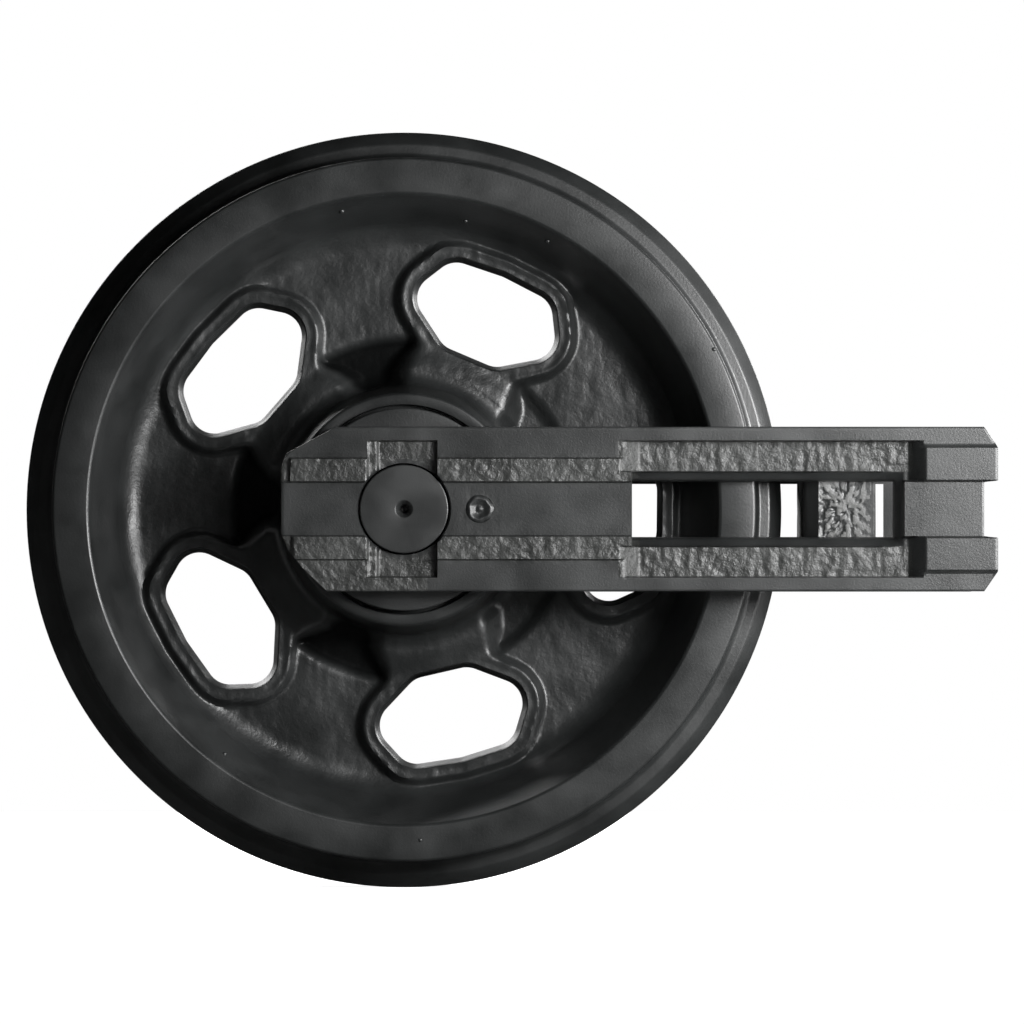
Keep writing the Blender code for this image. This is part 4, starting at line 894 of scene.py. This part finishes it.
# Arm plugs. Short steel slugs driven into the channel beside the shaft and peened over, so the
# head is a ragged dented disc that was painted with the arm.
def struck_slug(side, seed):
    """A slug with a beaten head.

    The head's rim wanders with two sines of the turn, and its height is a raised ring round a
    dent, a bell curve taken from another, with random lumps over both.
    """
    turn = 2.0 * math.pi * np.arange(80) / 80
    share = np.linspace(0.0, 1.0, 22)[:, None]
    ragged = 0.0106 * (1.0 + 0.05 * np.sin(3.0 * turn + seed) + 0.03 * np.sin(7.0 * turn + 0.5))
    radius = ragged * share
    ring = 0.0013 * np.exp(-((share - 0.72) / 0.17) ** 2)
    dent = 0.0010 * np.exp(-((share - 0.28) / 0.16) ** 2)
    out = 0.1121 + ring - dent - 0.0008 * ease((share - 0.85) / 0.15) + 0.0 * turn
    spot = np.stack([radius * np.cos(turn), out, radius * np.sin(turn)], axis=-1)
    out = np.minimum(out + share * (1.0 - share) * 2.4 * 0.0007 * lumps(spot, 0.0032, seed), 0.1140)
    radius = np.concatenate([radius, np.array([[0.0100], [0.0100], [0.0]]) + 0.0 * turn])
    out = np.concatenate([out, np.array([[0.1112], [0.0983], [0.0983]]) + 0.0 * turn])
    points = np.stack([PLUG_X + radius * np.cos(turn), side * out, radius * np.sin(turn)], axis=-1)
    return points.reshape(-1, 3), joined(points.shape[0], turn.size, True)


for place, side, seed in (("near", -1, 2), ("far", 1, 5)):
    new_piece(place + "_driven_plug", *struck_slug(side, seed), arm_paint, "yoke",
              (place + "_arm_plug",), "plug_steel", 50.0)


# Oil plug. A screwed plug with a hexagon socket, sealed in the far end of the shaft after filling.
oil_plug_run = rounded([(0.0, 0.0993), (0.0100, 0.0993), (0.0100, 0.1120), (0.0, 0.1120)], 0.0006, 4)
oil_plug = new_piece("socket_plug", *turned_points(oil_plug_run, 1, 72), shaft_paint, "yoke", ("oil_plug",),
                     "plug_steel", 30.0)
socket_run = np.array([(0.0, 0.1060), (0.0046, 0.1060), (0.0046, 0.1160), (0.0, 0.1160)])
cut_and_joined(oil_plug, [(loose_mesh("socket_tool", *turned_points(socket_run, 1, 6)), "DIFFERENCE")])


# Cross-member. A flame-cut block of steel bar between the arms, bevelled at its front corners to
# take the welds, its ends left rough from the cut and seen through the windows.
BEAM_X = (0.295, 0.348)
BEAM_HALF_H = 0.046
BEAM_HALF_Y = 0.0814
BEVEL_Y = 0.0697
BEVEL = 0.011
beam_paint = cast_paint("grey_paint_on_the_beam", (0.105, 0.106, 0.104), 0.52, 500.0, 0.0006)


def beam_surface():
    """A loft between the arms with both ends closed.

    Its section is a rounded rectangle cut into even lengths. Rows of it run along Y, the front
    edge moving back over the bevels, and rings that shrink to the middle close each end. The
    ends are pitted by random lumps that fade out towards the rear.
    """
    outline = rounded([(0.0, 0.0), (0.0, 1.0), (1.0, 1.0), (1.0, -1.0), (0.0, -1.0), (0.0, 0.0)], 0.03, 6)
    deep = BEAM_X[1] - BEAM_X[0]
    lengths = np.hypot(np.diff(outline[:, 0]) * deep, np.diff(outline[:, 1]) * BEAM_HALF_H)
    lengths = np.concatenate([[0.0], np.cumsum(lengths)])
    wanted = lengths[-1] * np.arange(260) / 260
    across = np.interp(wanted, lengths, outline[:, 0])
    high = np.interp(wanted, lengths, outline[:, 1])
    ring = np.linspace(0.0, 1.0, 26)
    bevel_rows = np.array([0.0810, 0.0795, 0.0775, 0.0750, 0.0725, BEVEL_Y])
    along = np.concatenate([bevel_rows, np.linspace(0.0690, -0.0690, 24), -bevel_rows[::-1]])
    y = np.concatenate([np.full(26, BEAM_HALF_Y), along, np.full(26, -BEAM_HALF_Y)])[:, None]
    scale = np.concatenate([ring, np.ones(along.size), ring[::-1]])[:, None]
    front = BEAM_X[0] + BEVEL * np.clip((np.abs(y) - BEVEL_Y) / 0.012, 0.0, 1.0)
    middle = 0.5 * (front + BEAM_X[1])
    x = middle + scale * (front + across * (BEAM_X[1] - front) - middle)
    z = scale * high * BEAM_HALF_H
    spot = np.stack([x, y + 0.0 * x, z], axis=-1)
    pits = 0.0008 * lumps(spot, 0.0030, 71) + 0.0004 * lumps(spot, 0.0016, 72)
    pits = pits * ease((BEAM_X[1] - 0.004 - x) / 0.016)
    ends = ease((0.985 - scale) / 0.03)
    y = y - np.sign(y) * ends * (0.0006 + pits)
    skin = 1.0 - (1.0 - ends) * 0.006 * (1.0 + lumps(spot, 0.011, 73))
    x = middle + (x - middle) * skin
    points = np.stack([x, y + 0.0 * x, z * skin], axis=-1)
    return points.reshape(-1, 3), joined(points.shape[0], wanted.size, True)


beam = new_piece("cross_beam", *beam_surface(), beam_paint, "yoke", ("cross_member",), "beam_paint", 45.0)
middles = face_middles(beam)
other_finish(beam, arm_paint, (np.abs(middles[:, 1]) < 0.0808) | (middles[:, 0] < 0.3075))


# Welds of the cross-member. Eight short beads in the corners between the beam and the arms, laid
# upwards, each with the half-round ripples of the pool.
def bead(x, y, lean, low_z, high_z, seed):
    """A rippled round bar along Z with closed ends.

    Its radius swells and shrinks with a sine whose phase lags round the bar, plus random lumps,
    and falls to nought at the ends as a quarter of an ellipse.
    """
    turn = 2.0 * math.pi * np.arange(28) / 28
    share = np.linspace(0.0, 1.0, 70)[:, None]
    z = low_z + (high_z - low_z) * share
    near_end = np.clip(np.abs(2.0 * share - 1.0) - 0.78, 0.0, None)
    ends = np.sqrt(np.clip(1.0 - near_end ** 2 / 0.0484, 0.0, 1.0))
    ripple = np.sin(2.0 * math.pi * (z - 0.0016 * np.cos(turn - lean)) / 0.0027)
    spot = np.stack([0.005 * np.cos(turn) + 0.0 * z, 0.005 * np.sin(turn) + 0.0 * z,
                     z + 0.0 * turn], axis=-1)
    radius = ends * (0.0056 + 0.00028 * ripple + 0.0005 * lumps(spot, 0.006, seed))
    points = np.stack([x + radius * np.cos(turn), y + radius * np.sin(turn), z + 0.0 * turn], axis=-1)
    return points.reshape(-1, 3), joined(70, 28, True)


beads = [bead(x, side * y, math.atan2(side, way), low, low + 0.022, 80 + index)
         for index, (side, (x, y, way), low) in enumerate(
             (side, corner, low) for side in (-1, 1)
             for corner in ((0.3030, 0.0780, -1.0), (0.3485, 0.0785, 1.0)) for low in (0.022, -0.044))]
new_piece("beam_welds", *gathered(beads), beam_paint, "yoke", (), "beam_paint", 60.0)


# Bushes, seal rings, rubber rings and lock pins keep their own turned or moulded shapes. Each takes
# the finish of its stock: cast bronze, lapped iron, moulded rubber, ground pin steel.
def worked_finish(name, colour, metallic, sheen, stretch):
    """Metal or rubber whose sheen drifts between two values with a noise drawn out along one way."""
    material, nodes, links, shader = new_material(name)
    place = nodes.new("ShaderNodeTexCoord")
    turned = nodes.new("ShaderNodeMapping")
    turned.inputs["Scale"].default_value = stretch
    noise = nodes.new("ShaderNodeTexNoise")
    noise.inputs["Scale"].default_value = 90.0
    noise.inputs["Detail"].default_value = 3.0
    spread = nodes.new("ShaderNodeMapRange")
    spread.inputs["To Min"].default_value = sheen - 0.08
    spread.inputs["To Max"].default_value = sheen + 0.10
    tint = nodes.new("ShaderNodeValToRGB")
    tint.color_ramp.elements[0].color = (*[0.75 * part for part in colour], 1.0)
    tint.color_ramp.elements[1].color = (*[min(1.0, 1.2 * part) for part in colour], 1.0)
    links.new(place.outputs["Object"], turned.inputs["Vector"])
    links.new(turned.outputs["Vector"], noise.inputs["Vector"])
    links.new(noise.outputs["Fac"], spread.inputs["Value"])
    links.new(noise.outputs["Fac"], tint.inputs["Fac"])
    links.new(spread.outputs["Result"], shader.inputs["Roughness"])
    links.new(tint.outputs["Color"], shader.inputs["Base Color"])
    shader.inputs["Metallic"].default_value = metallic
    return material


bronze = worked_finish("cast_bronze", (0.55, 0.37, 0.17), 1.0, 0.36, (1.0, 6.0, 1.0))
lapped_iron = worked_finish("lapped_iron", (0.42, 0.42, 0.43), 1.0, 0.26, (1.0, 5.0, 1.0))
rubber = worked_finish("moulded_rubber", (0.018, 0.018, 0.019), 0.0, 0.72, (1.0, 1.0, 1.0))
pin_steel = worked_finish("pin_steel", (0.30, 0.30, 0.31), 1.0, 0.38, (4.0, 4.0, 0.5))
kept = {"bush": bronze, "seal_ring": lapped_iron, "toric": rubber, "o_ring": rubber, "lock_pin": pin_steel}
for node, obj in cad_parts.items():
    for ending, material in kept.items():
        if node.endswith(ending):
            for index in range(len(obj.data.materials)):
                obj.data.materials[index] = material
